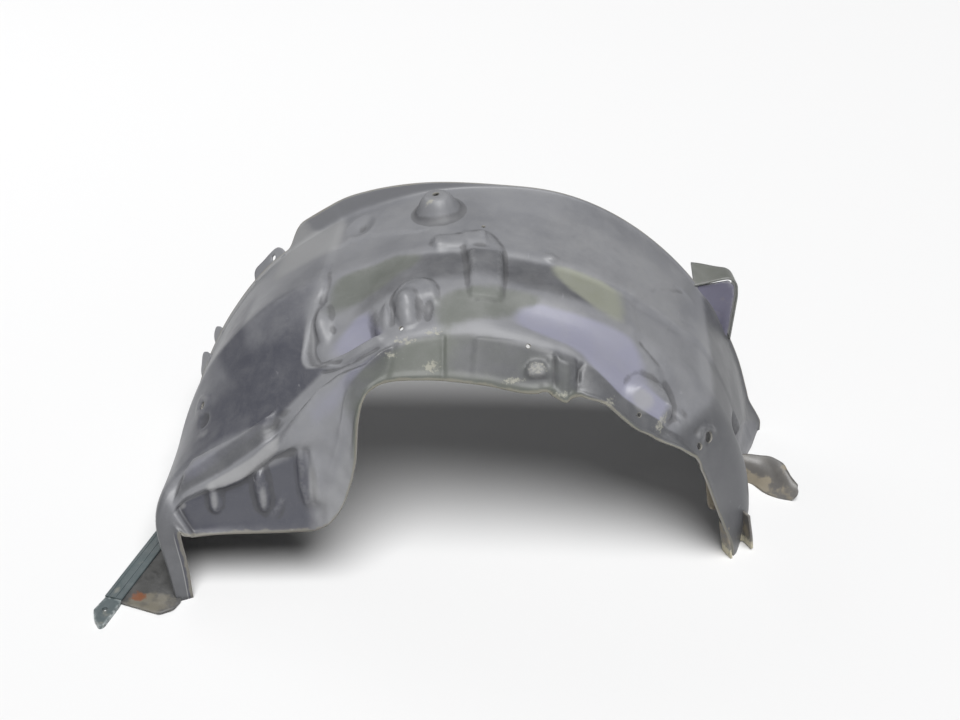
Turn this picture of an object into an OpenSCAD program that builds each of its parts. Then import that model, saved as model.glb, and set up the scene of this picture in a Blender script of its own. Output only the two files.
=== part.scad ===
// Front wheel arch liner: one thin plastic moulding that wraps over the wheel,
// with a turned-up lip on the fender side, stepped and embossed crown, an inner
// wall cut away for the suspension, and two legs that it stands on.
// X runs along the car, Y out towards the fender, Z up. The origin is on the
// floor under the middle of the liner.

/* [Arch] */
// Radius of the moulding at the fender edge
arch_r = 422; // [412:1:440]
// Height of the wheel axle above the floor that the liner stands on
axle_z = 12; // [8:1:18]
// Distance of the fender edge from the arch's middle plane
fender_y = 150; // [140:1:175]
// Thickness of the moulded sheet
wall = 3; // [2.6:0.1:4]

/* [Crown] */
// Fall of the crown from the fender edge to the first step
crown_fall = 18; // [8:1:26]
// Height of the first step
step_h = 7; // [3:0.5:10]
// Distance of the first step from the middle plane
step_y = 6; // [-20:1:30]
// Fall from the fender edge to the shoulder
shoulder_fall = 30; // [22:1:40]
// Distance of the shoulder from the middle plane, towards the engine
shoulder_y = 98; // [85:1:110]

/* [Lip] */
// Height of the small rim that runs along the whole fender edge
rim_h = 4; // [3:0.5:8]
// Height of the tall lip at the front of the crown
lip_h = 26; // [15:1:35]
// Station where the tall lip begins, in degrees round the arch
lip_from = 131; // [125:1:135]
// Station where the tall lip has died away
lip_to = 80; // [60:1:95]

/* [Inner wall] */
// Height of the cutout's top edge above the axle
cut_h = 306; // [290:1:320]
// Distance of the cutout's edge from the middle plane
cut_y = 195; // [185:1:215]
// Distance of the front leg's ribbed panel from the middle plane
panel_y = 236; // [225:1:250]
// Height of the ribbed panel's lower edge above the floor
panel_z = 100; // [70:1:125]

/* [Fixings] */
// Diameter of the small fixing holes in the inner wall
fixing_d = 6; // [4:0.5:9]
// Diameter of the front leg's fixing hole
leg_hole_d = 9; // [6:0.5:12]
// Diameter of the hole in the tab beside the drain opening
tab_hole_d = 9; // [6:0.5:12]
// Diameter of the drain opening over the rear leg
drain_d = 15; // [10:0.5:20]

/* [Cone boss] */
// Height of the boss over the crown
boss_h = 27; // [20:1:40]
// Radius of the boss at its foot
boss_r = 36; // [28:1:40]
// Radius of the boss at its flat top
boss_top_r = 15; // [12:0.5:18]
// Diameter of the hole in the boss
boss_hole_d = 8; // [5:0.5:12]

/* [Sill rail] */
// Length of the clipped-on rail
rail_l = 148; // [120:1:152]
// Width of the rail
rail_w = 26; // [20:1:30]
// Height of the rail
rail_h = 9; // [7:0.5:14]
// Thickness of the rail's sheet
rail_t = 2; // [1.5:0.1:3]
// Diameter of the hole in the rail's end tab
rail_hole_d = 8; // [5:0.5:12]

/* [Embossing] */
// Height of the raised box in the middle of the crown, over the upper crown
box_rise = 5; // [2:0.5:9]
// Length of the raised box, across the car
box_l = 114; // [90:2:130]
// Height of the strap that runs from the box to the front
strap_rise = 3.5; // [1:0.5:5]
// Height of the round mound above the cutout's front corner
mound_rise = 9; // [5:1:12]
// Radius of the mound
mound_r = 34; // [28:1:38]
// Height of the nose that stands on the mound
nose_rise = 15; // [8:1:18]
// Deepest part of the sunk pocket beside the front panel's crease
pocket_depth = 22; // [8:1:26]
// Height of the almond-shaped bulge between the pocket and the crease
almond_rise = 13; // [6:1:16]
// Depth of the shallow hollow in the rear of the crown
lobe_depth = 4.5; // [2:0.5:7]
// Depth of the cove along the top of the inner wall's rear half
cove_depth = 9; // [4:1:12]
// Height of the long bulge over the rear of the inner wall
brow_rise = 13; // [6:1:18]
// Height of the two raised bands over the front leg's panel
belt_rise = 8; // [4:1:10]
// Depth of the front leg's panel, under the bands
panel_depth = 10; // [5:1:13]
// Height of the drain gutter's half-round rib
gutter_rise = 10; // [5:1:14]
// Height of the upright ribs on the front leg's panel
rib_rise = 10; // [5:1:14]
// Depth of the set-back under the rear leg's far corner
corner_depth = 14; // [6:1:18]
// Height of the raised hood over the drain opening
hood_rise = 7; // [3:1:9]

/* [Edge tabs] */
// How far the fender edge's tabs stand out
ear_out = 22; // [15:1:30]
// Length of the longest tab along the edge
ear_l = 72; // [50:2:90]
// Diameter of the hole in the longest tab
ear_hole_d = 9; // [5:0.5:12]
// How far the rear bracket stands out from the fender edge
bracket_out = 48; // [30:1:60]

/* [Hidden] */
front_end = 184;
rear_end = -4;
crease = 121;
// Place of the axle line and of the arch's middle plane from the origin
axle_x = 13.9;
side_shift = 56.4;

// Places are given for an arch of 422 mm radius, and move with the radius chosen
growth = arch_r / 422;
function spot(x, y, z) = [x * growth, y, z * growth];

// Point at an angle, radius and side distance, seen from the wheel axle
function polar(a, r, y) = [r * cos(a), y, axle_z + r * sin(a)];

// Lines of the moulding, each a list of [station, point]. A station is the
// angle round the arch, from the front leg's foot to the rear leg's.
step_r = arch_r - crown_fall;
step_run = 12;
fender_line = [
    [184, polar(181.6, arch_r + 22, fender_y - 10)],
    [176, polar(174, arch_r + 12, fender_y - 4)],
    [165, polar(165, arch_r + 2, fender_y)],
    [150, polar(150, arch_r - 7, fender_y)],
    [130, polar(130, arch_r - 11, fender_y)],
    [121, polar(117.8, arch_r - 11, fender_y)],
    [112, polar(110.5, arch_r - 11, fender_y)],
    [95, polar(95, arch_r - 8, fender_y)],
    [75, polar(75, arch_r, fender_y)],
    [16, polar(16, arch_r + 2, fender_y)],
    [8.5, polar(8.5, arch_r + 7, fender_y)],
    [5, polar(5.6, arch_r + 11, fender_y)],
    [2, polar(2.6, arch_r + 22, fender_y)],
    [-1, polar(0.6, arch_r + 29, fender_y - 1)],
    [-4, polar(-1.5, arch_r + 30, fender_y - 2)]];
step_top_line = [
    [184, polar(181.6, arch_r + 18, -20)],
    [165, polar(166, arch_r + 14, -20)],
    [145, polar(146, arch_r + 10, -15)],
    [128, polar(128, arch_r + 2, -10)],
    [121, polar(119.3, arch_r - 7, -step_y)],
    [112, polar(111, step_r + 4, -step_y)],
    [97, polar(97, step_r + 5, -step_y)],
    [80, polar(80, step_r - 2, -step_y)],
    [60, polar(60, step_r - 4, -step_y)],
    [40, polar(40, step_r + 4, -step_y)],
    [6, polar(6, step_r + 4, -15)],
    [-4, polar(-1.7, step_r + 6, 10)]];
step_foot_line = [for (k = step_top_line) [k[0], lower(k[1], step_h * on_crown(k[0]))]];
shoulder_line = [
    [184, spot(-408, -256, 0)],
    [180, spot(-417, -245, 48)],
    [176, spot(-428, -232, 98)],
    [169, spot(-420, -205, 146)],
    [163, spot(-392, -178, 168)],
    [156, spot(-352, -174, 200)],
    [148, spot(-308, -168, 226)],
    [138, spot(-272, -160, 256)],
    [128, spot(-240, -148, 290)],
    [121, spot(-217, -137, 316)],
    [118, spot(-203, -131, 330)],
    [111, spot(-158, -113, 361)],
    [104, polar(105, arch_r - shoulder_fall, -shoulder_y)],
    [70, polar(70, arch_r - shoulder_fall, -shoulder_y)],
    [40, polar(40, arch_r - shoulder_fall + 4, -shoulder_y - 7)],
    [16, polar(16, arch_r - shoulder_fall + 8, -shoulder_y - 27)],
    [6, polar(6, arch_r - shoulder_fall + 4, -shoulder_y - 32)],
    [-4, spot(392, -110, 0)]];
wall_top_line = [
    [184, spot(-396, -252, 0)],
    [180, spot(-402, -242, 50)],
    [176, spot(-410, -231, 98)],
    [169, spot(-404, -220, 128)],
    [163, spot(-388, -208, 146)],
    [156, spot(-338, -205, 176)],
    [148, spot(-278, -200, 217)],
    [136, spot(-220, -194, 278)],
    [123, spot(-164, -180, 328)],
    [108, spot(-96, -164, 370)],
    [98, spot(-35, -155, 377)],
    [86, spot(20, -155, 377)],
    [75, spot(86, -158, 362)],
    [55, spot(168, -165, 322)],
    [44, spot(222, -168, 270)],
    [28, spot(294, -172, 200)],
    [16, spot(340, -165, 130)],
    [6, spot(366, -155, 60)],
    [-4, spot(378, -150, 0)]];
cut_top = axle_z + cut_h;
cut_line = [
    [184, spot(-383, -panel_y - 10, 0)],
    [180, spot(-386, -panel_y - 6, panel_z / 2)],
    [176, spot(-393, -panel_y - 1, panel_z - 2)],
    [169, spot(-380, -panel_y - 1, panel_z)],
    [157, spot(-344, -panel_y, panel_z + 1)],
    [148, spot(-278, -panel_y + 1, panel_z + 2)],
    [141, spot(-238, -panel_y + 2, panel_z + 3)],
    [136.2, spot(-206, -panel_y + 4, panel_z + 6)],
    [131.5, spot(-175, -panel_y + 6, 140)],
    [127.5, spot(-156, -panel_y + 8, 199)],
    [122.5, spot(-149, -221, 270)],
    [117, spot(-138, -208, cut_top - 12)],
    [112, spot(-124, -cut_y - 4, cut_top - 1)],
    [99, spot(-60, -cut_y, cut_top + 7)],
    [87, spot(11, -cut_y, cut_top)],
    [74, spot(84, -cut_y, cut_top - 14)],
    [71, spot(99, -cut_y, cut_top - 12)],
    [69.6, spot(106, -cut_y, cut_top - 19)],
    [68, spot(114, -cut_y, cut_top - 25)],
    [65.5, spot(128, -cut_y, cut_top - 26)],
    [64, spot(135, -cut_y, cut_top - 20)],
    [62.5, spot(142, -cut_y - 1, cut_top - 18)],
    [60.5, spot(151, -cut_y - 3, cut_top - 20)],
    [56, spot(178, -cut_y - 3, cut_top - 31)],
    [53, spot(196, -cut_y - 3, 269)],
    [50, spot(215, -cut_y - 3, 251)],
    [45.5, spot(243, -cut_y - 2, 235)],
    [38, spot(287, -cut_y, 210)],
    [30, spot(306, -cut_y + 3, 188)],
    [16, spot(346, -180, 84)],
    [6, spot(366, -165, 30)],
    [-4, spot(372, -158, 0)]];

// The step is a true step over the crown and only a soft line on the legs
function on_crown(s) = ease(min((125 - s) / 12, (s - 28) / 20));
function lower(p, drop) = p - unit([p.x, 0, p.z - axle_z]) * drop - [0, step_run, 0];
function unit(v) = v / norm(v);

// Smooth cubic through a line's knots at a station
function slope(line, i) =
    let (n = len(line) - 1)
    i == 0 ? (line[1][1] - line[0][1]) / (line[1][0] - line[0][0]) :
    i == n ? (line[n][1] - line[n - 1][1]) / (line[n][0] - line[n - 1][0]) :
    let (h0 = line[i][0] - line[i - 1][0], h1 = line[i + 1][0] - line[i][0])
    ((line[i][1] - line[i - 1][1]) / h0 * h1 + (line[i + 1][1] - line[i][1]) / h1 * h0) / (h0 + h1);
function span_of(line, s, i = 0) = i >= len(line) - 2 || s >= line[i + 1][0] ? i : span_of(line, s, i + 1);
function at(line, s) =
    let (i = span_of(line, s), h = line[i + 1][0] - line[i][0], t = (s - line[i][0]) / h)
    (2 * t * t * t - 3 * t * t + 1) * line[i][1] + (t * t * t - 2 * t * t + t) * h * slope(line, i)
    + (3 * t * t - 2 * t * t * t) * line[i + 1][1] + (t * t * t - t * t) * h * slope(line, i + 1);

// The lip rises from the fender edge, tall at the front of the crown
function ease(t) = let (c = min(1, max(0, t))) c * c * (3 - 2 * c);
function lip_height(s) = rim_h + (lip_h - rim_h) * ease((lip_from - s) / 5) * ease((s - lip_to) / (lip_from - lip_to - 12));
function lip_point(s) =
    let (p = at(fender_line, s), u = unit([p[0], 0, p[2] - axle_z]))
    p + u * lip_height(s) + [0, 2 + lip_height(s) / 10, 0];

// Section of the moulding at a station, from the lip to the cutout
function section(s) = [lip_point(s), at(fender_line, s), at(step_top_line, s), at(step_foot_line, s),
    at(shoulder_line, s), at(wall_top_line, s), at(cut_line, s)];
fillets = [0, 6, 5, 5, 24, 16, 0];
section_cells = [2, 6, 2, 8, 7, 8];
across = [0, for (i = [0:len(section_cells) - 1]) for (j = [1:section_cells[i]]) i + j / section_cells[i]];

// Point on a section, with each corner rounded by its fillet
function corner(a, b, c, f0, f1, w) =
    (1 - w) * (1 - w) * (b + (a - b) * f0) + 2 * w * (1 - w) * b + w * w * (b + (c - b) * f1);
function share(sec, i, j) = min(0.45, fillets[i] / norm(sec[j] - sec[i]));
function on_section(sec, v) =
    let (n = len(sec) - 1, i = min(n - 1, floor(v)), t = v - i)
    i > 0 && t < share(sec, i, i + 1) ?
        corner(sec[i - 1], sec[i], sec[i + 1], share(sec, i, i - 1), share(sec, i, i + 1),
            0.5 + 0.5 * t / share(sec, i, i + 1)) :
    i < n - 1 && 1 - t < share(sec, i + 1, i) ?
        corner(sec[i], sec[i + 1], sec[i + 2], share(sec, i + 1, i), share(sec, i + 1, i + 2),
            0.5 - 0.5 * (1 - t) / share(sec, i + 1, i)) :
    sec[i] + (sec[i + 1] - sec[i]) * t;

station_runs = [[front_end, 161, 8], [161, 155, 6], [155, 150, 3], [150, 146, 4], [146, 138.2, 4], [138.2, 134.2, 4],
    [134.2, crease, 7], [crease, 99, 16], [99, 60, 22], [60, 30, 7], [30, 9, 4], [9, rear_end, 4]];
stations = [front_end, for (r = station_runs) for (i = [1:r[2]]) r[0] + (r[1] - r[0]) * i / r[2]];

// Places on the crown and on the inner wall, as distances from a chosen point
function angle_of(p) = atan2(p.z - axle_z, p.x);
function crown_at(p, a, y) = [(angle_of(p) - a) * PI / 180 * arch_r, p.y - y];
function wall_at(p, x, z) = [p.x - x * growth, p.z - z * growth];
function turned(q, t) = [q.x * cos(t) + q.y * sin(t), q.y * cos(t) - q.x * sin(t)];
function between(x, from, to, soft) = ease((x - from) / soft + 0.5) * ease((to - x) / soft + 0.5);

// Soft shapes of height 1: an oval dome, an oval with a flat top, and a flat box
function dome(q, half) = ease(1 - norm([q.x / half.x, q.y / half.y]));
function flat_dome(q, half, edge) = ease((1 - norm([q.x / half.x, q.y / half.y])) / edge);
function pad(q, half, edge) = ease((half.x - abs(q.x)) / edge) * ease((half.y - abs(q.y)) / edge);

// Place along a line of points for a ridge that follows it
function off_line(p, a, b) = let (d = b - a, t = min(1, max(0, (p - a) * d / (d * d)))) norm(p - a - t * d);
function ridge(p, path, width) =
    ease(1 - min([for (i = [0:len(path) - 2]) off_line(p, path[i], path[i + 1])]) / width);

// Crown: dimple, strap, box, small oval, mound with its nose, and the rear hollow
lobe_front = [[-150, 44], [-119, 49.5], [-104, 56], [-20, 57], [10, 55], [49, 51.2], [92, 44.6], [104, 40]];
lobe_rear = 37;
function box_taper(y) = lookup(y, [[-box_l, 0.25], [-60, 0.8], [-20, 1]]);
function crown_shapes(v, p) =
    -6 * flat_dome(turned(crown_at(p, 112.8, 106), 16), [22, 31], 0.5)
    + strap_rise * pad(turned(crown_at(p, 92.2, 9), -4), [40, 15], 8)
    + (box_rise + step_h * ease((-step_y - p.y) / step_run)) * box_taper(p.y)
        * pad(crown_at(p, 87.2, 5 - box_l / 2), [26, box_l / 2 + 2], 6)
    + 4 * dome(crown_at(p, 74.3, -3), [18, 14])
    + mound_rise * flat_dome(crown_at(p, 100.9, -104), [mound_r, mound_r], 0.45) * ease((p.y + 124) / 24)
    + nose_rise * flat_dome(turned(crown_at(p, 102.6, -122), 4), [21, 34], 0.75) * ease((4.93 - v) / 0.22)
    - lobe_depth * ease((lookup(p.y, lobe_front) - angle_of(p)) / 2.4) * ease((angle_of(p) - lobe_rear) / 6)
        * ease((100 - p.y) / 10);

// Sunk pocket beside the crease of the front panel. Its floor dives from the
// top edge to a ledge, and an almond-shaped bulge stands between it and the
// crease. Edges are lists of [station, place across] or the reverse.
crease_edge = [[1.4, 121.3], [3.1, 121.2], [3.5, 122.4], [3.8, 123], [4.1, 122.6], [4.4, 121.2]];
pocket_top = [[108, 4], [110, 3.9], [113.5, 3.76], [117, 3.62], [121, 3.5]];
pocket_low = [[109, 4.76], [111, 4.68], [114, 4.6], [117, 4.5], [119.5, 4.35], [121, 4.2], [124, 4]];
pocket_right = [[3.6, 106.8], [3.9, 107.6], [4.3, 108.2], [4.7, 110]];
ledge = [[-205, -148, 319], [-186, -152, 330], [-165, -154, 342], [-144, -154, 353], [-112, -158, 366]];
function pocket(s, v, p) =
    let (edge = lookup(v, crease_edge), top = lookup(s, pocket_top), low = lookup(s, pocket_low),
        dive = min(1, max(0, (v - top) / max(low - top, 0.05))))
    -(1.5 + 5 * ease((90 - p.y) / 150)) * ease((edge - s) / 1.5) * ease((s - 103) / 11) * ease((4.78 - v) / 0.25)
    - (3 + (pocket_depth - 3) * dive - 6 * ease((s - 116) / 5)) * ease(dive / 0.12)
        * ease((edge - 0.2 - s) / 1.6) * ease((s - lookup(v, pocket_right)) / 1.6) * ease((low - v) / 0.12)
    + almond_rise * flat_dome(turned(crown_at(p, 120, -84), -20), [16, 37], 0.85)
    + 4 * ridge(p, [for (q = ledge) spot(q.x, q.y, q.z)], 12);

// Rear leg: the crown stands out as a box at the far corner, and below its
// edge, a list of [place across, station], the leg is set back
corner_edge = [[1.05, -3], [1.1, 1], [1.5, 10.5], [1.88, 16.5], [2.4, 20], [3, 23], [3.9, 27]];
function corner_fall(s, v) =
    -corner_depth * ease((lookup(v, corner_edge) - s) / 5) * ease((3.9 - v) / 0.6) * ease((v - 1.02) / 0.08);

// Middle of the drain gutter along the car
gutter_x = 121;

// Hood: a raised ring round the upper half of the drain opening
hood_mid = [320, -147, 200];
function hood(p) =
    let (away = norm(p - spot(hood_mid.x, hood_mid.y, hood_mid.z)))
    hood_rise * ease(1 - abs(away - 13) / 7) * ease((p.z - 196 * growth) / 12);

// Inner wall: change of level, half-moon, gutter rib, cove over it and brow
function wall_shapes(s, v, p) =
    let (brow = turned(wall_at(p, 231, 264), -43))
    2 * ease((-33 * growth - p.x) / 8) * between(s, 90, 108, 2) * ease((v - 5) / 0.3)
    + 7 * flat_dome(wall_at(p, 84, 328), [18, 15], 0.4) * ease((wall_at(p, 84, 320).y) / 5)
    + gutter_rise * sqrt(max(0, 1 - pow(wall_at(p, gutter_x, 0).x / 16, 2))) * ease((v - 5.05) / 0.3)
    - cove_depth * between(s, 47, 84, 9) * ease(1 - abs(v - 4.42) / 0.62)
    + brow_rise * flat_dome([brow.x, brow.y - 4], [46, 26], 0.45) * ease((brow.y + 12) / 22) * ease((v - 4.45) / 0.2)
    + hood(p);

// Front leg: two raised bands, one after the other, and under them a sunk
// panel with upright ribs, each [x, z, half width, half height]. The edges are
// lists of [station, place across] or the reverse.
belt_first = [[163, 4.5], [162, 4.23], [159.5, 4], [154.5, 4.06], [150, 4.1], [144.5, 4.17], [140, 4.24], [136, 4.17]];
belt_second = [[143, 5.02], [138, 4.98], [132.5, 4.9], [129.5, 4.85], [126.5, 4.92], [124, 4.93], [120.5, 5.05],
    [116.5, 5.22], [110.5, 5.12]];
belt_tip = [[4.1, 135.6], [4.2, 136.5], [4.4, 139.5], [4.62, 142.8], [4.95, 144.3], [5.05, 143], [5.1, 136]];
panel_edge = [[170, 5], [163.5, 5.05], [158, 5.08], [155, 5.18], [152, 5.2], [148, 5.12], [145, 5.12], [140.5, 5.18],
    [135.5, 5.28], [132.5, 5.33], [129, 5.6]];
ribs = [[-345, 147, 9, 19], [-280, 162, 10, 32], [-228, 178, 9, 50], [-211, 188, 8, 42]];
function rib(p, r) = let (q = turned(wall_at(p, r[0], r[1]), 4)) ease(1 - abs(q.x) / r[2]) * ease(2 - 2 * abs(q.y) / r[3]);
function leg_shapes(s, v, p) =
    let (upper = ease((v - lookup(s, belt_first)) / 0.12) * ease((s - lookup(v, belt_tip)) / 2) * ease((167 - s) / 5),
        under = ease((v - lookup(s, belt_second)) / 0.1) * ease((144 - s) / 2) * ease((s - 108) / 5))
    belt_rise * max(upper, under) * ease((5.95 - v) / 0.75)
    - panel_depth * ease((v - lookup(s, panel_edge)) / 0.1) * between(s, 135.6, 167, 2.4) * ease((6.05 - v) / 0.35)
    + rib_rise * max([for (r = ribs) rib(p, r)]) * ease((v - 4.9) / 0.2)
    + 4 * flat_dome(crown_at(p, 153.6, -70), [20, 20], 0.5)
    - 5 * dome(crown_at(p, 153.8, -100), [18, 20]);

function raise(s, v, p) = crown_shapes(v, p) + pocket(s, v, p) + corner_fall(s, v)
    + (v < 4 ? 0 : wall_shapes(s, v, p)) + leg_shapes(s, v, p);

// Grid of points on the outside and, a wall's thickness in, on the inside. The
// two ends are cut level with the floor.
base_grid = [for (s = stations) let (sec = section(s)) [for (v = across) on_section(sec, v)]];
last = len(stations) - 1;
function normal_at(g, i, j) =
    let (n = len(g) - 1, m = len(g[0]) - 1)
    unit(cross(g[i][min(m, j + 1)] - g[i][max(0, j - 1)], g[min(n, i + 1)][j] - g[max(0, i - 1)][j]));
function above_floor(p) = [p.x, p.y, max(0, p.z)];
outer_grid = [for (i = [0:last]) [for (j = [0:len(across) - 1])
    let (p = base_grid[i][j]) above_floor(p + raise(stations[i], across[j], p) * normal_at(base_grid, i, j))]];
function inward(g, i, j) = let (n = normal_at(g, i, j)) i > 0 && i < last ? n : unit([n.x, n.y, 0]);
inner_grid = [for (i = [0:last]) [for (j = [0:len(across) - 1])
    above_floor(outer_grid[i][j] - wall * inward(outer_grid, i, j))]];

// A sheet between two grids of points, closed along its four edges
function quad(a, b, c, d) = [[a, b, c], [a, c, d]];
module sheet(outer, inner) {
    rows = len(outer);
    cols = len(outer[0]);
    back = rows * cols;
    function id(i, j) = i * cols + j;
    faces = concat(
        [for (i = [0:rows - 2]) for (j = [0:cols - 2]) each
            quad(id(i, j), id(i + 1, j), id(i + 1, j + 1), id(i, j + 1))],
        [for (i = [0:rows - 2]) for (j = [0:cols - 2]) each
            quad(back + id(i, j), back + id(i, j + 1), back + id(i + 1, j + 1), back + id(i + 1, j))],
        [for (i = [0:rows - 2]) each
            quad(id(i, 0), back + id(i, 0), back + id(i + 1, 0), id(i + 1, 0))],
        [for (i = [0:rows - 2]) each
            quad(id(i, cols - 1), id(i + 1, cols - 1), back + id(i + 1, cols - 1), back + id(i, cols - 1))],
        [for (j = [0:cols - 2]) each
            quad(id(0, j), id(0, j + 1), back + id(0, j + 1), back + id(0, j))],
        [for (j = [0:cols - 2]) each
            quad(id(rows - 1, j), back + id(rows - 1, j), back + id(rows - 1, j + 1), id(rows - 1, j + 1))]);
    polyhedron(points = concat([for (row = outer) each row], [for (row = inner) each row]), faces = faces);
}

module placed() {
    translate([axle_x, side_shift, 0])
        children();
}

// Point of the moulding's outside at a station and a place across it
function skin(s, v) =
    let (p = on_section(section(s), v)) p + raise(s, v, p) * facing(s, v);
function facing(s, v) =
    unit(cross(on_section(section(s), v + 0.05) - on_section(section(s), v - 0.05),
        on_section(section(s - 0.5), v) - on_section(section(s + 0.5), v)));
module on_skin(s, v) {
    n = facing(s, v);
    translate(skin(s, v))
        rotate([0, acos(n.z), atan2(n.y, n.x)])
            children();
}
module hole_through(s, v, d) {
    on_skin(s, v)
        cylinder(d = d, h = 8 * wall, center = true, $fn = 48);
}

// Places of the boss and of the holes, as [station, place across]
boss_at = [96.7, 1.378];
fixings_at = [[105.9, 4.79], [77.1, 5.14], [47.1, 5.51], [87.7, 1.67]];
leg_hole_at = [153.7, 3.29];
drain_at = [27.8, 4.55];
tab_hole_at = [27.5, 4.84];

// Cone that stands on the crown. The same cone, a wall's thickness smaller and
// longer at its foot, hollows it.
boss_slope = (boss_r - boss_top_r) / boss_h;
module boss_cone(inset, sink) {
    on_skin(boss_at[0], boss_at[1])
        translate([0, 0, -sink])
            cylinder(h = boss_h + sink - inset, r1 = boss_r + sink * boss_slope - inset,
                r2 = boss_top_r - inset / 2, $fn = 64);
}

// Tab on the fender edge. It leans away from the axle and may have a hole.
ear_lean = 30;
module ear(a, length, hole) {
    translate(at(fender_line, a))
        rotate([ear_lean, 90 - a, 0])
            translate([0, 0, -wall])
                linear_extrude(height = wall)
                    difference() {
                        polygon([[-length / 2, -4], [-length / 2 + 5, ear_out - 3], [-length / 2 + 10, ear_out],
                            [length / 2 - 10, ear_out], [length / 2 - 5, ear_out - 3], [length / 2, -4]]);
                        if (hole > 0)
                            translate([length / 6, ear_out / 2])
                                circle(d = hole, $fn = 32);
                    }
}

// Bracket behind the rear of the fender edge: a bent strip and the web below it
bracket_line = [[331, 272], [385, 273], [393, 265], [396, 248], [391, 172]];
bracket_web = [[384, 176], [370, 204], [352, 233], [337, 252], [325, 266]];
module bracket() {
    outside = [for (p = bracket_line) p * growth];
    inside = [for (p = outside) p - [wall, wall]];
    translate([0, fender_y + bracket_out, 0])
        rotate([90, 0, 0])
            linear_extrude(height = bracket_out + 1)
                polygon(concat(outside, [for (i = [4:-1:0]) inside[i]]));
    translate([0, fender_y + wall, 0])
        rotate([90, 0, 0])
            linear_extrude(height = wall + 1)
                polygon(concat(outside, [for (p = bracket_web) p * growth]));
}

// Frame of the sill rail: X along it from its near end, Y to its outer side.
// Its slot takes the floor plate of the front foot with a small gap.
rail_at = [-503 * growth, -251];
rail_turn = 72;
rail_gap = 0.3;
rail_slot = 8;
plate_lift = rail_t + rail_gap;
function on_rail(x, y) = rail_at + [x * cos(rail_turn) - y * sin(rail_turn), x * sin(rail_turn) + y * cos(rail_turn)];
plate_side = [[-424, -283], [-406, -274], [-398, -256], [-400, -245], [-417, -150], [-421, -130]];
plate_marks = [[-449, -209], [-428, -252]];
module floor_plate() {
    translate([0, 0, plate_lift])
        linear_extrude(height = wall)
            polygon([for (p = plate_side) [p.x * growth, p.y], on_rail(126, -rail_w - 4),
                on_rail(126, rail_slot - rail_w), on_rail(-2, rail_slot - rail_w)]);
    for (p = plate_marks)
        translate([p.x * growth, p.y, plate_lift])
            cylinder(h = wall + 1.2, r = 12, $fn = 48);
}

// Channel that ends the rear leg: open to the inner side, leaning to the front
channel_w = 34;
channel_h = 66;
module rear_channel() {
    difference() {
        translate([379 * growth, -144, 0])
            rotate([0, -11, 28])
                difference() {
                    translate([-channel_w / 2, -12, -10])
                        cube([channel_w, 24, channel_h + 10]);
                    translate([-channel_w / 2 + wall, -13, wall])
                        cube([channel_w - 2 * wall, 25 - wall, channel_h]);
                }
        translate([379 * growth - 50, -200, -30])
            cube([100, 100, 30]);
    }
}

// Curled flap at the foot of the rear leg
flap_low = [[392, 22, 0], [423, 14, 0], [439, -13, 0], [458, -24, 0], [476, -30, 0]];
flap_high = [[392, 31, 38], [424, 28, 41], [449, 22, 42], [466, 4, 40], [477, -16, 24]];
flap_grid = [for (i = [0:4]) [for (t = [0:0.25:1])
    let (p = flap_low[i] + (flap_high[i] - flap_low[i]) * t + [9, -9, 5] * 4 * t * (1 - t))
        above_floor(p + [(growth - 1) * 402, 0, 0])]];
module flap() {
    sheet(flap_grid, [for (i = [0:4]) [for (j = [0:4])
        let (n = normal_at(flap_grid, i, j)) above_floor(flap_grid[i][j] - wall * (j > 0 ? n : unit([n.x, n.y, 0])))]]);
}

module liner() {
    color([0.42, 0.43, 0.46])
        placed() {
            difference() {
                union() {
                    sheet(outer_grid, inner_grid);
                    boss_cone(0, wall + 1);
                    ear(136, ear_l, ear_hole_d);
                    ear(157.5, ear_l / 2, 0);
                    ear(166, ear_l * 0.78, 0);
                    bracket();
                    floor_plate();
                    rear_channel();
                    flap();
                }
                boss_cone(wall, 3 * wall);
                on_skin(boss_at[0], boss_at[1])
                    cylinder(d = boss_hole_d, h = boss_h + wall, $fn = 48);
                for (f = fixings_at)
                    hole_through(f[0], f[1], fixing_d);
                hole_through(leg_hole_at[0], leg_hole_at[1], leg_hole_d);
                hole_through(tab_hole_at[0], tab_hole_at[1], tab_hole_d);
                hole_through(drain_at[0], drain_at[1], drain_d);
            }
        }
}

// Rail clipped over the plate's edge: a C section with two grooves along its
// top, and an end tab with a hole
groove_w = 2.4;
groove_d = 1.1;
module rail_section() {
    difference() {
        translate([-rail_w, 0])
            square([rail_w, rail_h]);
        translate([-rail_w + rail_t, rail_t])
            square([rail_w - 2 * rail_t, rail_h - 2 * rail_t]);
        translate([-rail_w - 1, rail_t])
            square([rail_t + 2, wall + 2 * rail_gap]);
        for (x = [-0.3, -0.72])
            translate([x * rail_w, rail_h - groove_d])
                square([groove_w, groove_d + 1]);
    }
}
module sill_rail() {
    color([0.36, 0.42, 0.43])
        placed()
            translate(rail_at)
                rotate([0, 0, rail_turn]) {
                    rotate([90, 0, 90])
                        linear_extrude(height = rail_l)
                            rail_section();
                    difference() {
                        linear_extrude(height = rail_h - 3)
                            polygon([[1, -1], [-28, 2], [-44, -8], [-56, -21], [-51, -rail_w], [-14, -rail_w],
                                [1, -rail_w + 1]]);
                        translate([-22, -12, -1])
                            cylinder(d = rail_hole_d, h = rail_h, $fn = 48);
                    }
                }
}

liner();
sill_rail();
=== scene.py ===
import math
import bpy
import numpy as np
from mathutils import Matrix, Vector
from mathutils.geometry import delaunay_2d_cdt as cdt


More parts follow.
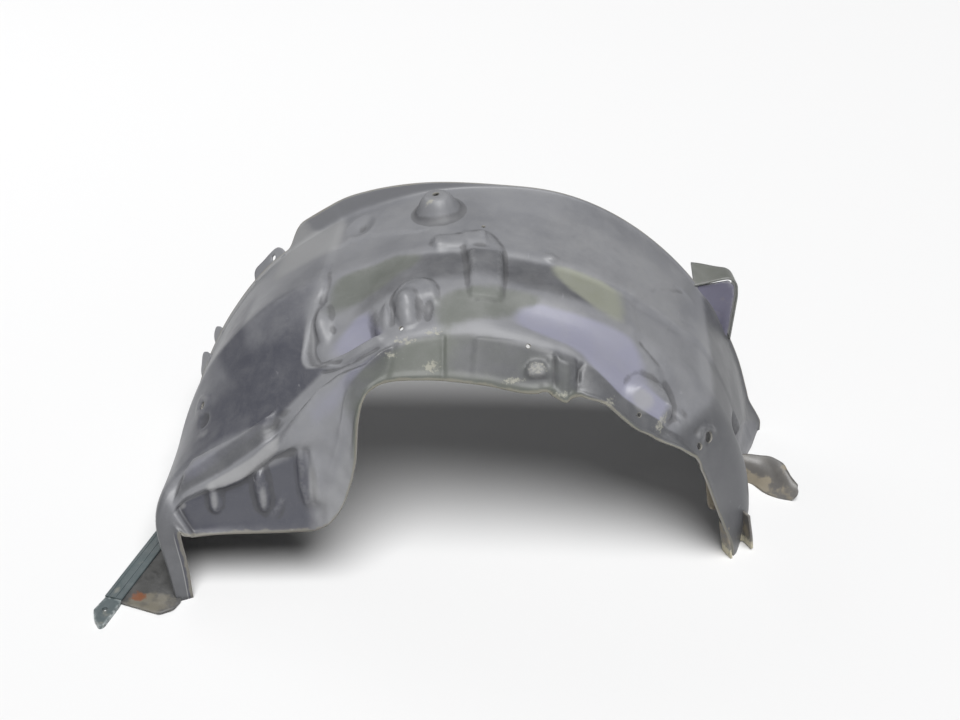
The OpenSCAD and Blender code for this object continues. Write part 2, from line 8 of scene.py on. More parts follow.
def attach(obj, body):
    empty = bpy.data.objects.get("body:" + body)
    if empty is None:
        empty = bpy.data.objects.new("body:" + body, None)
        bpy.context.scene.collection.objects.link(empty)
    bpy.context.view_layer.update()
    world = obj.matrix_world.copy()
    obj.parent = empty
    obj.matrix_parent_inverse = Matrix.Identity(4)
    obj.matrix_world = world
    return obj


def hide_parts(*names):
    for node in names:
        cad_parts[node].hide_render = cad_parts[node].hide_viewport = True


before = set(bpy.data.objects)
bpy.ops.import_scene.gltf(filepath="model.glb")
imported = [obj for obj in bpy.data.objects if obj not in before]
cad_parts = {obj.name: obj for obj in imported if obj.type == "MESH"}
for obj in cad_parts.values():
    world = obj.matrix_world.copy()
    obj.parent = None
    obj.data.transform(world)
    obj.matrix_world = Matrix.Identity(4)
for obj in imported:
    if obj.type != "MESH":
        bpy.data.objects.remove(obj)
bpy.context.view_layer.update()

# Sizes are in millimetres from the wheel axle's place on the floor, as in the part's source.
# X runs along the car, Y out to the fender and Z up.
place = {"axleX": 13.9, "sideShift": 56.4}
arch = {"radius": 422.0, "axleZ": 12.0, "fenderY": 150.0, "wall": 3.0, "crownFall": 18.0, "shoulderFall": 30.0,
        "shoulderY": 98.0, "stepY": 6.0, "stepRun": 12.0, "stepDrop": 7.0, "rimHeight": 4.0, "lipHeight": 26.0,
        "cutHeight": 306.0, "cutY": 195.0, "panelY": 236.0, "panelZ": 100.0}


def toScene(points):
    # millimetres from the axle to metres in the row's frame
    return (np.asarray(points, float) + [place["axleX"], place["sideShift"], 0]) / 1000


def ease(t):
    c = np.clip(t, 0, 1)
    return c * c * (3 - 2 * c)


def unit(d):
    return d / np.linalg.norm(d, axis=-1, keepdims=True)


def lengthsAlong(path):
    # distance from the first point to each
    return np.r_[0, np.cumsum(np.linalg.norm(np.diff(path, axis=0), axis=1))]


# The moulding's guide lines, each a list of (station, point)

def polar(a, r, y):
    t = math.radians(a)
    return (r * math.cos(t), y, arch["axleZ"] + r * math.sin(t))


def guideLines():
    r, y, py, pz = arch["radius"], arch["fenderY"], arch["panelY"], arch["panelZ"]
    cy, top = arch["cutY"], arch["axleZ"] + arch["cutHeight"]
    sr, sy, ky = r - arch["crownFall"], -arch["stepY"], -arch["shoulderY"]
    kr = r - arch["shoulderFall"]
    # station, angle, and the offsets of radius and y
    fender = [(s, polar(a, r + out, y + off)) for s, a, out, off in [
        (184, 181.6, 22, -10), (176, 174, 12, -4), (165, 165, 2, 0), (150, 150, -7, 0), (130, 130, -11, 0),
        (121, 117.8, -11, 0), (112, 110.5, -11, 0), (95, 95, -8, 0), (75, 75, 0, 0), (16, 16, 2, 0), (8.5, 8.5, 7, 0),
        (5, 5.6, 11, 0), (2, 2.6, 22, 0), (-1, 0.6, 29, -1), (-4, -1.5, 30, -2)]]
    stepTop = [(184, polar(181.6, r + 18, -20)), (165, polar(166, r + 14, -20)), (145, polar(146, r + 10, -15)),
               (128, polar(128, r + 2, -10)), (121, polar(119.3, r - 7, sy)), (112, polar(111, sr + 4, sy)),
               (97, polar(97, sr + 5, sy)), (80, polar(80, sr - 2, sy)), (60, polar(60, sr - 4, sy)),
               (40, polar(40, sr + 4, sy)), (6, polar(6, sr + 4, -15)), (-4, polar(-1.7, sr + 6, 10))]
    shoulder = [(184, (-408, -256, 0)), (180, (-417, -245, 48)), (176, (-428, -232, 98)), (169, (-420, -205, 146)),
                (163, (-392, -178, 168)), (156, (-352, -174, 200)), (148, (-308, -168, 226)),
                (138, (-272, -160, 256)), (128, (-240, -148, 290)), (121, (-217, -137, 316)),
                (118, (-203, -131, 330)), (111, (-158, -113, 361)), (104, polar(105, kr, ky)), (70, polar(70, kr, ky)),
                (40, polar(40, kr + 4, ky - 7)), (16, polar(16, kr + 8, ky - 27)), (6, polar(6, kr + 4, ky - 32)),
                (-4, (392, -110, 0))]
    wallTop = [(184, (-396, -252, 0)), (180, (-402, -242, 50)), (176, (-410, -231, 98)), (169, (-404, -220, 128)),
               (163, (-388, -208, 146)), (156, (-338, -205, 176)), (148, (-278, -200, 217)),
               (136, (-220, -194, 278)), (123, (-164, -180, 328)), (108, (-96, -164, 370)), (98, (-35, -155, 377)),
               (86, (20, -155, 377)), (75, (86, -158, 362)), (55, (168, -165, 322)), (44, (222, -168, 270)),
               (28, (294, -172, 200)), (16, (340, -165, 130)), (6, (366, -155, 60)), (-4, (378, -150, 0))]
    cut = [(184, (-383, -py - 10, 0)), (180, (-386, -py - 6, pz / 2)), (176, (-393, -py - 1, pz - 2)),
           (169, (-380, -py - 1, pz)), (157, (-344, -py, pz + 1)), (148, (-278, -py + 1, pz + 2)),
           (141, (-238, -py + 2, pz + 3)), (136.2, (-206, -py + 4, pz + 6)), (131.5, (-175, -py + 6, 140)),
           (127.5, (-156, -py + 8, 199)), (122.5, (-149, -221, 270)), (117, (-138, -208, top - 12)),
           (112, (-124, -cy - 4, top - 1)), (99, (-60, -cy, top + 7)), (87, (11, -cy, top)),
           (74, (84, -cy, top - 14)), (71, (99, -cy, top - 12)), (69.6, (106, -cy, top - 19)),
           (68, (114, -cy, top - 25)), (65.5, (128, -cy, top - 26)), (64, (135, -cy, top - 20)),
           (62.5, (142, -cy - 1, top - 18)), (60.5, (151, -cy - 3, top - 20)), (56, (178, -cy - 3, top - 31)),
           (53, (196, -cy - 3, 269)), (50, (215, -cy - 3, 251)), (45.5, (243, -cy - 2, 235)),
           (38, (287, -cy, 210)), (30, (306, -cy + 3, 188)), (16, (346, -180, 84)), (6, (366, -165, 30)),
           (-4, (372, -158, 0))]
    return fender, stepTop, shoulder, wallTop, cut


def lineAt(line, s):
    # smooth cubic through the knots
    k = np.array([a for a, _ in line][::-1], float)
    p = np.array([b for _, b in line][::-1], float)
    h = np.diff(k)
    d = np.diff(p, axis=0) / h[:, None]
    m = np.empty_like(p)
    m[0], m[-1] = d[0], d[-1]
    m[1:-1] = (d[:-1] * h[1:, None] + d[1:] * h[:-1, None]) / (h[:-1] + h[1:])[:, None]
    i = np.clip(np.searchsorted(k, s, side="right") - 1, 0, len(h) - 1)
    t = ((s - k[i]) / h[i])[:, None]
    w = h[i][:, None]
    return ((2 * t**3 - 3 * t**2 + 1) * p[i] + (t**3 - 2 * t**2 + t) * w * m[i]
            + (3 * t**2 - 2 * t**3) * p[i + 1] + (t**3 - t**2) * w * m[i + 1])


def fromAxle(p):
    return unit(p * [1, 0, 1] - [0, 0, arch["axleZ"]])


def sections(s):
    fender, stepTop, shoulder, wallTop, cut = guideLines()
    f = lineAt(fender, s)
    knots = np.array([a for a, _ in stepTop], float)
    tops = np.array([b for _, b in stepTop], float)
    drop = arch["stepDrop"] * ease(np.minimum((125 - knots) / 12, (knots - 28) / 20))
    feet = tops - fromAxle(tops) * drop[:, None] - [0, arch["stepRun"], 0]
    rise = arch["rimHeight"] + (arch["lipHeight"] - arch["rimHeight"]) * ease((131 - s) / 5) * ease((s - 80) / 39)
    lip = f + fromAxle(f) * rise[:, None] + np.stack([0 * s, 2 + rise / 10, 0 * s], 1)
    return np.stack([lip, f, lineAt(stepTop, s), lineAt(list(zip(knots, feet)), s), lineAt(shoulder, s),
                     lineAt(wallTop, s), lineAt(cut, s)], 1)


def acrossSection(sec, v):
    # each corner of the section is rounded by its fillet
    fillets = [0, 6, 5, 5, 24, 16, 0]
    last = sec.shape[1] - 1
    out = np.empty((sec.shape[0], len(v), 3))

    def share(a, b):
        return np.minimum(0.45, fillets[a] / np.linalg.norm(sec[:, b] - sec[:, a], axis=1))[:, None]

    def corner(i, w):
        a, b, c = sec[:, i - 1], sec[:, i], sec[:, i + 1]
        return ((1 - w)**2 * (b + (a - b) * share(i, i - 1)) + 2 * w * (1 - w) * b
                + w**2 * (b + (c - b) * share(i, i + 1)))

    for j, at in enumerate(v):
        i = min(last - 1, int(at))
        t = at - i
        p = sec[:, i] + (sec[:, i + 1] - sec[:, i]) * t
        if i > 0:
            e = share(i, i + 1)
            p = np.where(t < e, corner(i, 0.5 + 0.5 * t / e), p)
        if i < last - 1:
            e = share(i + 1, i)
            p = np.where(1 - t < e, corner(i + 1, 0.5 - 0.5 * (1 - t) / e), p)
        out[:, j] = p
    return out


def facing(grid):
    n = np.cross(np.gradient(grid, axis=1), np.gradient(grid, axis=0))
    return n / (np.linalg.norm(n, axis=2, keepdims=True) + 1e-12)


# Shapes that the relief and the colours are made of. Each takes the grid's own values and gives weights.

def curve(x, *knots):
    # straight stretches between (x, value) pairs
    a = sorted(knots)
    return np.interp(x, [k[0] for k in a], [k[1] for k in a])


class Skin:
    # holds the grid while shapes are laid on it
    def __init__(self, s, v):
        self.s, self.v = np.meshgrid(s, v, indexing="ij")
        self.p = acrossSection(sections(s), v)
        self.n = facing(self.p)
        self.a = np.degrees(np.arctan2(self.p[..., 2] - arch["axleZ"], self.p[..., 0]))
        self.a = np.where(self.a < -90, self.a + 360, self.a)

    def onCrown(self, a, y, turn=0):
        return self.turned((np.radians(self.a - a) * arch["radius"], self.p[..., 1] - y), turn)

    def onWall(self, x, z, turn=0):
        return self.turned((self.p[..., 0] - x, self.p[..., 2] - z), turn)

    def turned(self, q, turn):
        c, d = math.cos(math.radians(turn)), math.sin(math.radians(turn))
        return q[0] * c + q[1] * d, q[1] * c - q[0] * d

    def away(self, path):
        # distance from a line of points, and how far along it
        p, path = self.p, np.array(path, float)
        best, way = np.full(p.shape[:2], 1e9), np.zeros(p.shape[:2])
        lengths = lengthsAlong(path)
        for i in range(len(path) - 1):
            d = path[i + 1] - path[i]
            t = np.clip(((p - path[i]) @ d) / (d @ d), 0, 1)
            r = np.linalg.norm(p - path[i] - t[..., None] * d, axis=2)
            way = np.where(r < best, (lengths[i] + t * (lengths[i + 1] - lengths[i])) / lengths[-1], way)
            best = np.minimum(best, r)
        return best, way


def far(q, half=(1, 1)):
    return np.hypot(q[0] / half[0], q[1] / half[1])


def oval(q, half, flat=1.0):
    return ease((1 - far(q, half)) / flat)


def streak(x, width):
    # narrow line where x is zero
    return np.exp(-(x / width)**2)


def block(q, half, soft):
    return ease((half[0] - np.abs(q[0])) / soft) * ease((half[1] - np.abs(q[1])) / soft)


def span(x, low, high, soft):
    return ease((x - low) / soft + 0.5) * ease((high - x) / soft + 0.5)


def ridge(skin, path, width, fade=0.12):
    d, t = skin.away(path)
    return ease(1 - d / width) * ease(t / fade) * ease((1 - t) / fade)


def creaseStation(v):
    return curve(v, (1.4, 121.3), (3.1, 121.2), (3.5, 122.4), (3.8, 123), (4.1, 122.6), (4.4, 121.2))


def pocketWall(v):
    # station of the pocket's right wall
    return curve(v, (3.6, 106.8), (3.9, 107.6), (4.3, 108.2), (4.7, 110))


# Swellings and dips of the crown: height, angle, y, turn, half sizes, softness
crownOvals = {
    "strapEnd": (3.2, 96.2, 2, 0, (15, 22), 0.9), "boxEnd": (3, 88.3, 18, 0, (9, 13), 0.6),
    "smallOval": (4, 74.3, -3, 6, (13, 9), 0.7), "noseDip": (-5, 98.4, -127, 14, (8, 22), 0.8),
    "moundRib": (5, 107.2, -122, 6, (8, 27), 0.6), "moundDip": (-3, 105.6, -122, 6, (5, 27), 0.8),
    "almond": (13, 121.2, -82, 8, (17, 37), 0.9), "almondDip": (-2.5, 120.6, -46, 8, (7, 14), 0.9),
    "legDent": (-5, 153.8, -100, 0, (15, 17), 0.6), "legPad": (2, 154.5, -128, 0, (9, 8), 0.7)}
# Raised and sunk lines: height, width, share that fades at each end, points
ridges = {
    "lobeFold": (-1.4, 4, 0.12, [(262, -62, 303), (272, -32, 301), (290, 2, 295), (306, 18, 284), (322, 26, 262)]),
    "lobeCrest": (1.6, 7, 0.3, [(292, 22, 296), (300, 32, 290)]),
    "ledge": (4, 9, 0.1, [(-205, -148, 319), (-186, -152, 330), (-165, -154, 342), (-144, -154, 353),
                          (-125, -152, 362), (-112, -158, 366)]),
    "underLedge": (-6, 7, 0.15, [(-204, -158, 312), (-180, -166, 325), (-156, -170, 338), (-133, -168, 351),
                                 (-112, -166, 362)]),
    "ledgeEnd": (3, 6, 0.3, [(-112, -150, 367), (-118, -146, 366)]),
    "gutterNear": (3, 5, 0.12, [(102, -165, 346), (102, -186, 315), (108, -192, 300)]),
    "gutterFar": (-4, 5, 0.2, [(150, -166, 338), (140, -176, 328), (136, -186, 312)]),
    "lumpHigh": (6, 8, 0.35, [(252, -150, 262), (268, -160, 238)]),
    "lumpLow": (6, 8, 0.35, [(271, -146, 250), (286, -157, 226)]),
    "panelFold": (5, 9, 0.4, [(-247, -219, 166), (-254, -222, 150), (-262, -226, 136), (-275, -231, 114)])}


def relief(k):
    s, v, y = k.s, k.v, k.p[..., 1]
    crown = {"dimple": 7.5, "dimpleAt": (112.8, 106, 16), "dimpleSize": (23, 32), "lowStep": 2.4,
             "strap": 3.5, "strapAt": (92.2, 9, -4), "strapSize": (40, 15), "box": 4.5, "lobe": 4.5,
             "boss": 27, "bossAt": (96.6, 91), "bossFoot": 36, "bossTop": 16, "mound": 9, "moundAt": (100.9, -104),
             "moundSize": (34, 35), "nose": 15, "noseAt": (102.6, -122, 4), "noseSize": (20, 34),
             "ledge": 3, "dive": 19, "waves": (0.4, 0.2)}
    h = sum(rise * oval(k.onCrown(*at), half, flat) for rise, *at, half, flat in crownOvals.values())
    h += sum(rise * ridge(k, path, width, fade) for rise, width, fade, path in ridges.values())
    # dimple, low step, strap, box and rear lobe
    dimple = far(k.onCrown(*crown["dimpleAt"]), crown["dimpleSize"])
    h += 1.2 * streak(dimple - 1, 0.1) - crown["dimple"] * ease(1 - dimple)
    lowStep = curve(k.a, (101, 46), (105.3, 60), (111, 74), (114.4, 78), (117, 70))
    h -= crown["lowStep"] * ease((lowStep - y) / 5) * span(k.a, 99, 118.4, 3) * ease((y - 4) / 50)
    h += crown["strap"] * block(k.onCrown(*crown["strapAt"]), crown["strapSize"], 5)
    left = curve(y, (-130, 90.5), (-50, 90.6), (-8, 91.3), (10, 92))
    right = curve(y, (-130, 83.9), (-49, 83.7), (-6, 83.9), (14, 85.4), (33, 86.8), (40, 90))
    onBox = ease((left - k.a) / 0.543) * ease((k.a - right) / 0.679) * ease((y + 114) / 4) * ease((36 - y) / 14)
    taper = curve(y, (-114, 0.25), (-60, 0.8), (-20, 1))
    h += (crown["box"] + arch["stepDrop"] * ease((-arch["stepY"] - y) / 12)) * onBox * taper
    edge = curve(y, (-150, 44), (-119, 49.5), (-104, 56), (-20, 57), (10, 55), (49, 51.2), (92, 44.6), (104, 40))
    rear = curve(y, (-150, 36), (-110, 38), (60, 37), (100, 38))
    h -= crown["lobe"] * ease((edge - k.a) / 2.4) * ease((k.a - rear) / 6) * ease((100 - y) / 10)
    # cone boss
    centre = far(k.onCrown(*crown["bossAt"]))
    side = np.clip((crown["bossFoot"] - centre) / (crown["bossFoot"] - crown["bossTop"]), 0, 1)
    h += crown["boss"] * (side - 0.05 * np.sin(2 * math.pi * side))
    h += 0.3 * streak(centre - 11, 2) - 0.3 * streak(centre - 38, 4)
    # mound with a step round it, and its nose
    mound = far(k.onCrown(*crown["moundAt"]), crown["moundSize"])
    h += (crown["mound"] * ease((1.04 - mound) / 0.3) - 1.3 * streak(mound - 0.66, 0.1)) * ease((y + 124) / 20)
    h += crown["nose"] * oval(k.onCrown(*crown["noseAt"]), crown["noseSize"], 0.75) * ease((4.93 - v) / 0.22)
    # pocket beside the crease: a floor that dives in to a ledge, and a right wall
    crease = creaseStation(v)
    depth = 1.5 + 5 * ease((90 - y) / 150)
    h -= depth * ease(crease - s) * ease((s - 103) / 11) * ease((4.78 - v) / 0.25)
    top = curve(s, (108, 4.0), (110, 3.9), (113.5, 3.76), (117, 3.62), (121, 3.5))
    low = curve(s, (109, 4.76), (111, 4.68), (114, 4.6), (117, 4.5), (119.5, 4.35), (121, 4.2), (124, 4.0))
    dive = np.clip((v - top) / np.maximum(low - top, 0.05), 0, 1)
    inPocket = ease((crease - 0.2 - s) / 1.4) * ease((s - pocketWall(v)) / 1.6) * ease((low - v) / 0.09)
    h -= (crown["ledge"] + crown["dive"] * dive - 6 * ease((s - 116) / 5)) * ease(dive / 0.12) * inPocket
    h += 0.8 * streak(s - crease - 0.4, 0.4) * span(v, 1.6, 4.25, 0.3)
    h = blur(h + wallRelief(k) + legRelief(k), 2)
    # slow waviness of a thin moulding
    x, z, (slow, quick) = k.p[..., 0], k.p[..., 2], crown["waves"]
    h += slow * np.sin(x / 61 + y / 47) * np.sin(z / 53 - y / 71) + quick * np.sin(x / 23 + z / 31) * np.sin(y / 27)
    return h


legHole = (153.6, -70)    # angle and y of the hole in the front leg


def wallRelief(k):
    s, v, x, z = k.s, k.v, k.p[..., 0], k.p[..., 2]
    wall = {"level": 2, "levelAt": -33, "halfMoon": 7, "halfMoonAt": (84, 328), "halfMoonSize": (19, 16),
            "gutter": 11, "gutterAt": 121, "gutterHalf": 15, "cove": 9, "brow": 13, "browAt": (231, 264, -43),
            "browSize": (46, 26), "hood": 7, "hoodLine": [(320, -147, 200), (321, -146, 200)], "tabFlat": 2.5,
            "tabAt": (306, 197), "tabSize": (15, 17), "corner": 14, "edge": 1.6}
    low = ease((v - 5) / 0.2)
    onLevel = wall["level"] * ease((wall["levelAt"] - x) / 5) + 1.6 * ease(1 - np.abs(x - wall["levelAt"] + 3) / 5)
    h = onLevel * span(s, 90, 108, 2) * low
    h += wall["halfMoon"] * oval(k.onWall(*wall["halfMoonAt"]), wall["halfMoonSize"], 0.6) * ease((z - 321) / 5)
    gutter = np.clip(1 - ((x - wall["gutterAt"]) / wall["gutterHalf"])**2, 0, 1)
    h += wall["gutter"] * np.sqrt(gutter) * ease((v - 5.02) / 0.25)
    h -= wall["cove"] * span(s, 47, 84, 9) * ease(1 - np.abs(v - 4.42) / 0.62)
    q = k.onWall(*wall["browAt"])
    brow = oval((q[0], q[1] - 4), wall["browSize"], 0.45)
    h += wall["brow"] * brow * ease((q[1] + 12) / 22) * ease((v - 4.45) / 0.2)
    h += 2 * ease((curve(x, (14, 371), (81, 363), (118, 349)) - z) / 3) * span(s, 69, 89, 2) * low
    # hood over the drain opening, and the tab's flat
    d, _ = k.away(wall["hoodLine"])
    h += wall["hood"] * streak(d - 13, 4) * ease((z - 196) / 12)
    h += wall["tabFlat"] * oval(k.onWall(*wall["tabAt"]), wall["tabSize"], 0.5)
    # the crown stands out as a box at the rear leg's far corner, and the leg is set back below its edge
    corner = curve(v, (1.05, -3), (1.1, 1), (1.5, 10.5), (1.88, 16.5), (2.4, 20), (3, 23), (3.9, 27))
    depth = wall["corner"] * curve(v, (1, 0), (1.31, 0.15), (1.67, 0.65), (1.95, 1))
    h -= depth * ease((corner - s) / 3.2) * ease((3.9 - v) / 0.6)
    h += streak(s - corner - 0.4, 0.6) * span(v, 1.6, 2.6, 0.3)
    # raised edge along the cutout
    return h + wall["edge"] * streak((6 - v) * 70 - 7, 4) * span(s, 30, 128, 8)


def legRelief(k):
    s, v, x, z = k.s, k.v, k.p[..., 0], k.p[..., 2]
    # ribs: x, z, half width, half height, height
    leg = {"belt": 8, "panel": 10, "collar": 4, "collarRadius": 12, "ribLean": 4,
           "ribs": [(-345, 147, 9, 20, 8), (-280, 162, 10, 33, 10), (-223, 182, 9, 49, 8), (-208, 184, 8.5, 48, 9)]}
    first = curve(s, (170, 4.9), (164.5, 4.7), (163, 4.5), (162, 4.23), (159.5, 4.0), (154.5, 4.06), (150, 4.1),
                  (144.5, 4.17), (140, 4.24), (136, 4.17))
    second = curve(s, (143, 5.02), (138, 4.98), (132.5, 4.9), (129.5, 4.85), (126.5, 4.92), (124, 4.93),
                   (120.5, 5.05), (116.5, 5.22), (110.5, 5.12))
    panelTop = curve(s, (170, 5.0), (163.5, 5.05), (158, 5.08), (155, 5.18), (152, 5.2), (148, 5.12), (145, 5.12),
                     (140.5, 5.18), (135.5, 5.28), (132.5, 5.33), (129, 5.6))
    bandEnd = curve(v, (4.1, 134.6), (4.2, 135.5), (4.4, 138.5), (4.62, 141.8), (4.95, 143.3), (5.05, 142), (5.1, 135))
    upper = ease((v - first) / 0.09) * ease((s - bandEnd) / 3.8) * ease((167 - s) / 5)
    under = ease((v - second) / 0.06) * ease((144 - s) / 2) * ease((s - 108) / 5)
    belt = np.maximum(upper, under) * ease((5.95 - v) / 0.75)
    h = leg["belt"] * belt + 1.6 * streak(v - first - 0.07, 0.05) * upper
    h += 1.4 * streak(v - second - 0.05, 0.045) * under
    h -= 3 * span(s, 139, 146, 3) * span(v, 4.5, 4.98, 0.25) * (1 - belt)
    h += 2.5 * streak(v - panelTop + 0.06, 0.06) * span(s, 131, 160, 4)
    h -= leg["panel"] * ease((v - panelTop) / 0.06) * span(s, 134.8, 167, 2.2) * ease((6.2 - v) / 0.4)
    for ribX, ribZ, w, tall, up in leg["ribs"]:
        qx, qz = k.onWall(ribX, ribZ, leg["ribLean"])
        tip = w * np.sqrt(np.clip(1 - (qz / tall)**2, 0.02, 1))
        h += up * np.clip(1 - (qx / tip)**2, 0, 1)**0.55 * ease((1 - np.abs(qz) / tall) / 0.3) * ease((v - 5.0) / 0.1)
    # folds of the leg's lower corner
    folds = 0.8 * np.sin(z / 6.5 + x / 9 + 1.5 * np.sin(x / 13)) + 0.6 * np.sin(x / 5 - z / 12)
    h += folds * span(s, 126, 139.5, 3) * ease((v - 5.3) / 0.15)
    h += 3 * streak(v - 5.55 - (s - 128) / 40, 0.08) * span(s, 122, 133, 3)
    # collar of the leg's hole
    d = far(k.onCrown(*legHole))
    return h + leg["collar"] * streak(d - leg["collarRadius"], 5) - 2 * ease(1 - d / 9)


# Holes through the moulding: (station, place across, radius)
holes = {"boss": (96.7, 1.375, 4.6), "crown": (87.7, 1.67, 2.4), "wallFront": (105.9, 4.79, 3.0),
         "wallMiddle": (77.1, 5.14, 3.0), "wallRear": (47.1, 5.51, 3.0), "leg": (153.7, 3.29, 5.5),
         "tab": (27.5, 4.84, 4.8), "drain": (27.9, 4.53, 8.0)}


def spaced(parts, extra):
    # stations or places across, with more of them round each hole's centre
    base = np.concatenate([np.linspace(a, b, n, endpoint=False) for a, b, n in parts] + [[parts[-1][1]]])
    ends = base[0], base[-1]
    for centre, reach in extra:
        near = centre + reach * np.array([-1.35, -0.9, -0.45, 0, 0.45, 0.9, 1.35])
        near = near[(near > ends[0]) & (near < ends[1])]
        base = base[(np.abs(base[:, None] - near).min(1) > reach * 0.2) | np.isin(base, ends)]
        base = np.concatenate([base, near])
    return np.unique(base)


def pierce(grid, centre, axis, radius):
    # moves the ring of points nearest a hole's edge onto it, and names the faces inside
    d = grid - centre
    high = (d * axis).sum(2)
    flat = d - high[..., None] * axis
    r = np.linalg.norm(flat, axis=2)
    close = (np.abs(high) < 9) & (r < radius * 3 + 6)
    i, j = np.where(close)
    step = np.median(np.linalg.norm(np.diff(grid[i.min():i.max() + 1, j.min():j.max() + 1], axis=0), axis=2))
    ring = close & (np.abs(r - radius) < 0.62 * step)
    scale = np.where(ring, radius / np.maximum(r, 1e-6), 1.0)
    moved = centre + high[..., None] * axis + flat * scale[..., None]
    grid[ring] = moved[ring]
    r = np.where(ring, radius, r)
    inside = close & (r <= radius + 1e-6)
    return inside[:-1, :-1] & inside[1:, :-1] & inside[1:, 1:] & inside[:-1, 1:]


def makeObject(name, points, faces, smooth=True):
    mesh = bpy.data.meshes.new(name)
    mesh.from_pydata([tuple(p) for p in toScene(points)], [], [tuple(int(i) for i in f) for f in faces])
    mesh.validate()
    mesh.polygons.foreach_set("use_smooth", [smooth] * len(mesh.polygons))
    mesh.update()
    piece = bpy.data.objects.new(name, mesh)
    bpy.context.collection.objects.link(piece)
    return piece


def axlePoints(piece):
    at = np.empty(len(piece.data.vertices) * 3, np.float32)
    piece.data.vertices.foreach_get("co", at)
    return at.reshape(-1, 3) * 1000.0 - [place["axleX"], place["sideShift"], 0]


def setValues(piece, name, values):
    layer = piece.data.attributes.new(name, "FLOAT", "POINT")
    layer.data.foreach_set("value", np.asarray(values, np.float32).ravel())


def gridFaces(rows, cols, skip=None, start=0, flip=False):
    i, j = np.meshgrid(np.arange(rows - 1), np.arange(cols - 1), indexing="ij")
    if skip is not None:
        i, j = i[~skip], j[~skip]
    a = (i * cols + j).ravel() + start
    f = np.stack([a, a + 1, a + cols + 1, a + cols], 1)
    return (f[:, ::-1] if flip else f).tolist()


def curvature(grid, n, reach):
    # how far a point stands above the mean of its neighbours
    g = np.pad(grid, ((reach, reach), (reach, reach), (0, 0)), mode="edge")
    r, c = grid.shape[:2]
    mean = (g[:r, reach:reach + c] + g[2 * reach:, reach:reach + c] + g[reach:reach + r, :c]
            + g[reach:reach + r, 2 * reach:]) / 4
    return ((grid - mean) * n).sum(2)


def blur(a, times):
    for _ in range(times):
        p = np.pad(a, 1, mode="edge")
        a = (p[:-2, 1:-1] + p[2:, 1:-1] + p[1:-1, :-2] + p[1:-1, 2:] + 2 * a) / 6
    return a


def between(s, v, ends, low, high, softS, softV):
    # soft patch between two lines across a run of stations
    return span(s, ends[0], ends[1], softS) * span(v, curve(s, *low), curve(s, *high), softV)


# Colours of the skin are masks. Each is blurred this many times.
softening = {"dusk": 16, "straw": 26, "green": 30, "lilac": 22, "dirt": 2, "gloom": 3, "slate": 8, "pale": 3}
# Patches: weight, stations, lower line, upper line, softness along and across
patches = {
    "green": [
        (1, (100, 119.5), [(119, 2.9), (114, 2.4), (104, 2.3), (100, 2.5)],
         [(119, 3.5), (112, 3.6), (100, 3.2)], 5, 0.4),
        (0.9, (76, 99), [(99, 4.3), (84, 4.0), (76, 3.95)], [(99, 5.0), (84, 4.75), (76, 4.25)], 6, 0.3),
        (0.4, (62, 108), [(108, 5.0), (62, 5.05)], [(108, 6.2), (62, 6.2)], 6, 0.2),
        (0.5, (96, 126), [(130, 5.25), (112, 5.3), (96, 5.1)], [(130, 6.2), (96, 6.2)], 8, 0.2)],
    "straw": [(1, (58, 74), [(75, 2.45), (57, 2.4)], [(75, 3.2), (66, 3.8), (57, 4.05)], 7, 0.6)],
    # lavender patches on the cove, on the wall near the brow and on the leg's belts: painted reflection of a bluish
    # light
    "lilac": [
        (1, (47, 81), [(84, 4.5), (76, 4.12), (69, 4.1), (56, 4.1), (50, 4.35), (46, 4.5)],
         [(84, 4.7), (70, 4.86), (61.5, 4.95), (54, 5.2), (46, 5.3)], 9, 0.26),
        (1, (39, 51), [(50, 4.85), (44.5, 4.76), (40, 4.76)], [(50, 5.25), (40, 5.3)], 3, 0.12),
        (0.42, (140, 164), [(164, 4.45), (160, 4.1), (141, 4.22)], [(164, 4.8), (141, 4.62)], 4, 0.18),
        (0.5, (112, 136), [(136, 4.95), (112, 5.1)], [(136, 5.2), (124, 5.4), (112, 5.35)], 5, 0.15)],
    "slate": [(0.9, (136, 167), [(167, 5.1), (136, 5.3)], [(167, 6.3), (136, 6.3)], 6, 0.12)],
    # darker tone over the crown's middle, a band of the front leg and the rear of the crown: painted shade
    "dusk": [
        (0.62, (62, 112), [(112, 2.5), (62, 2.6)], [(112, 3.9), (62, 3.9)], 6, 0.5),
        (0.75, (140, 165), [(165, 4.4), (141, 4.15)], [(165, 5.0), (141, 4.85)], 4, 0.15),
        (0.35, (37, 57), [(57, 1.9), (37, 2.1)], [(57, 4.2), (37, 4.6)], 6, 0.5)],
    # light band along the belt's lower edge: painted highlight
    "pale": [(1, (143, 158), [(158, 5.02), (150, 5.02), (143, 4.98)], [(158, 5.14), (150, 5.2), (143, 5.12)], 4, 0.06)]}
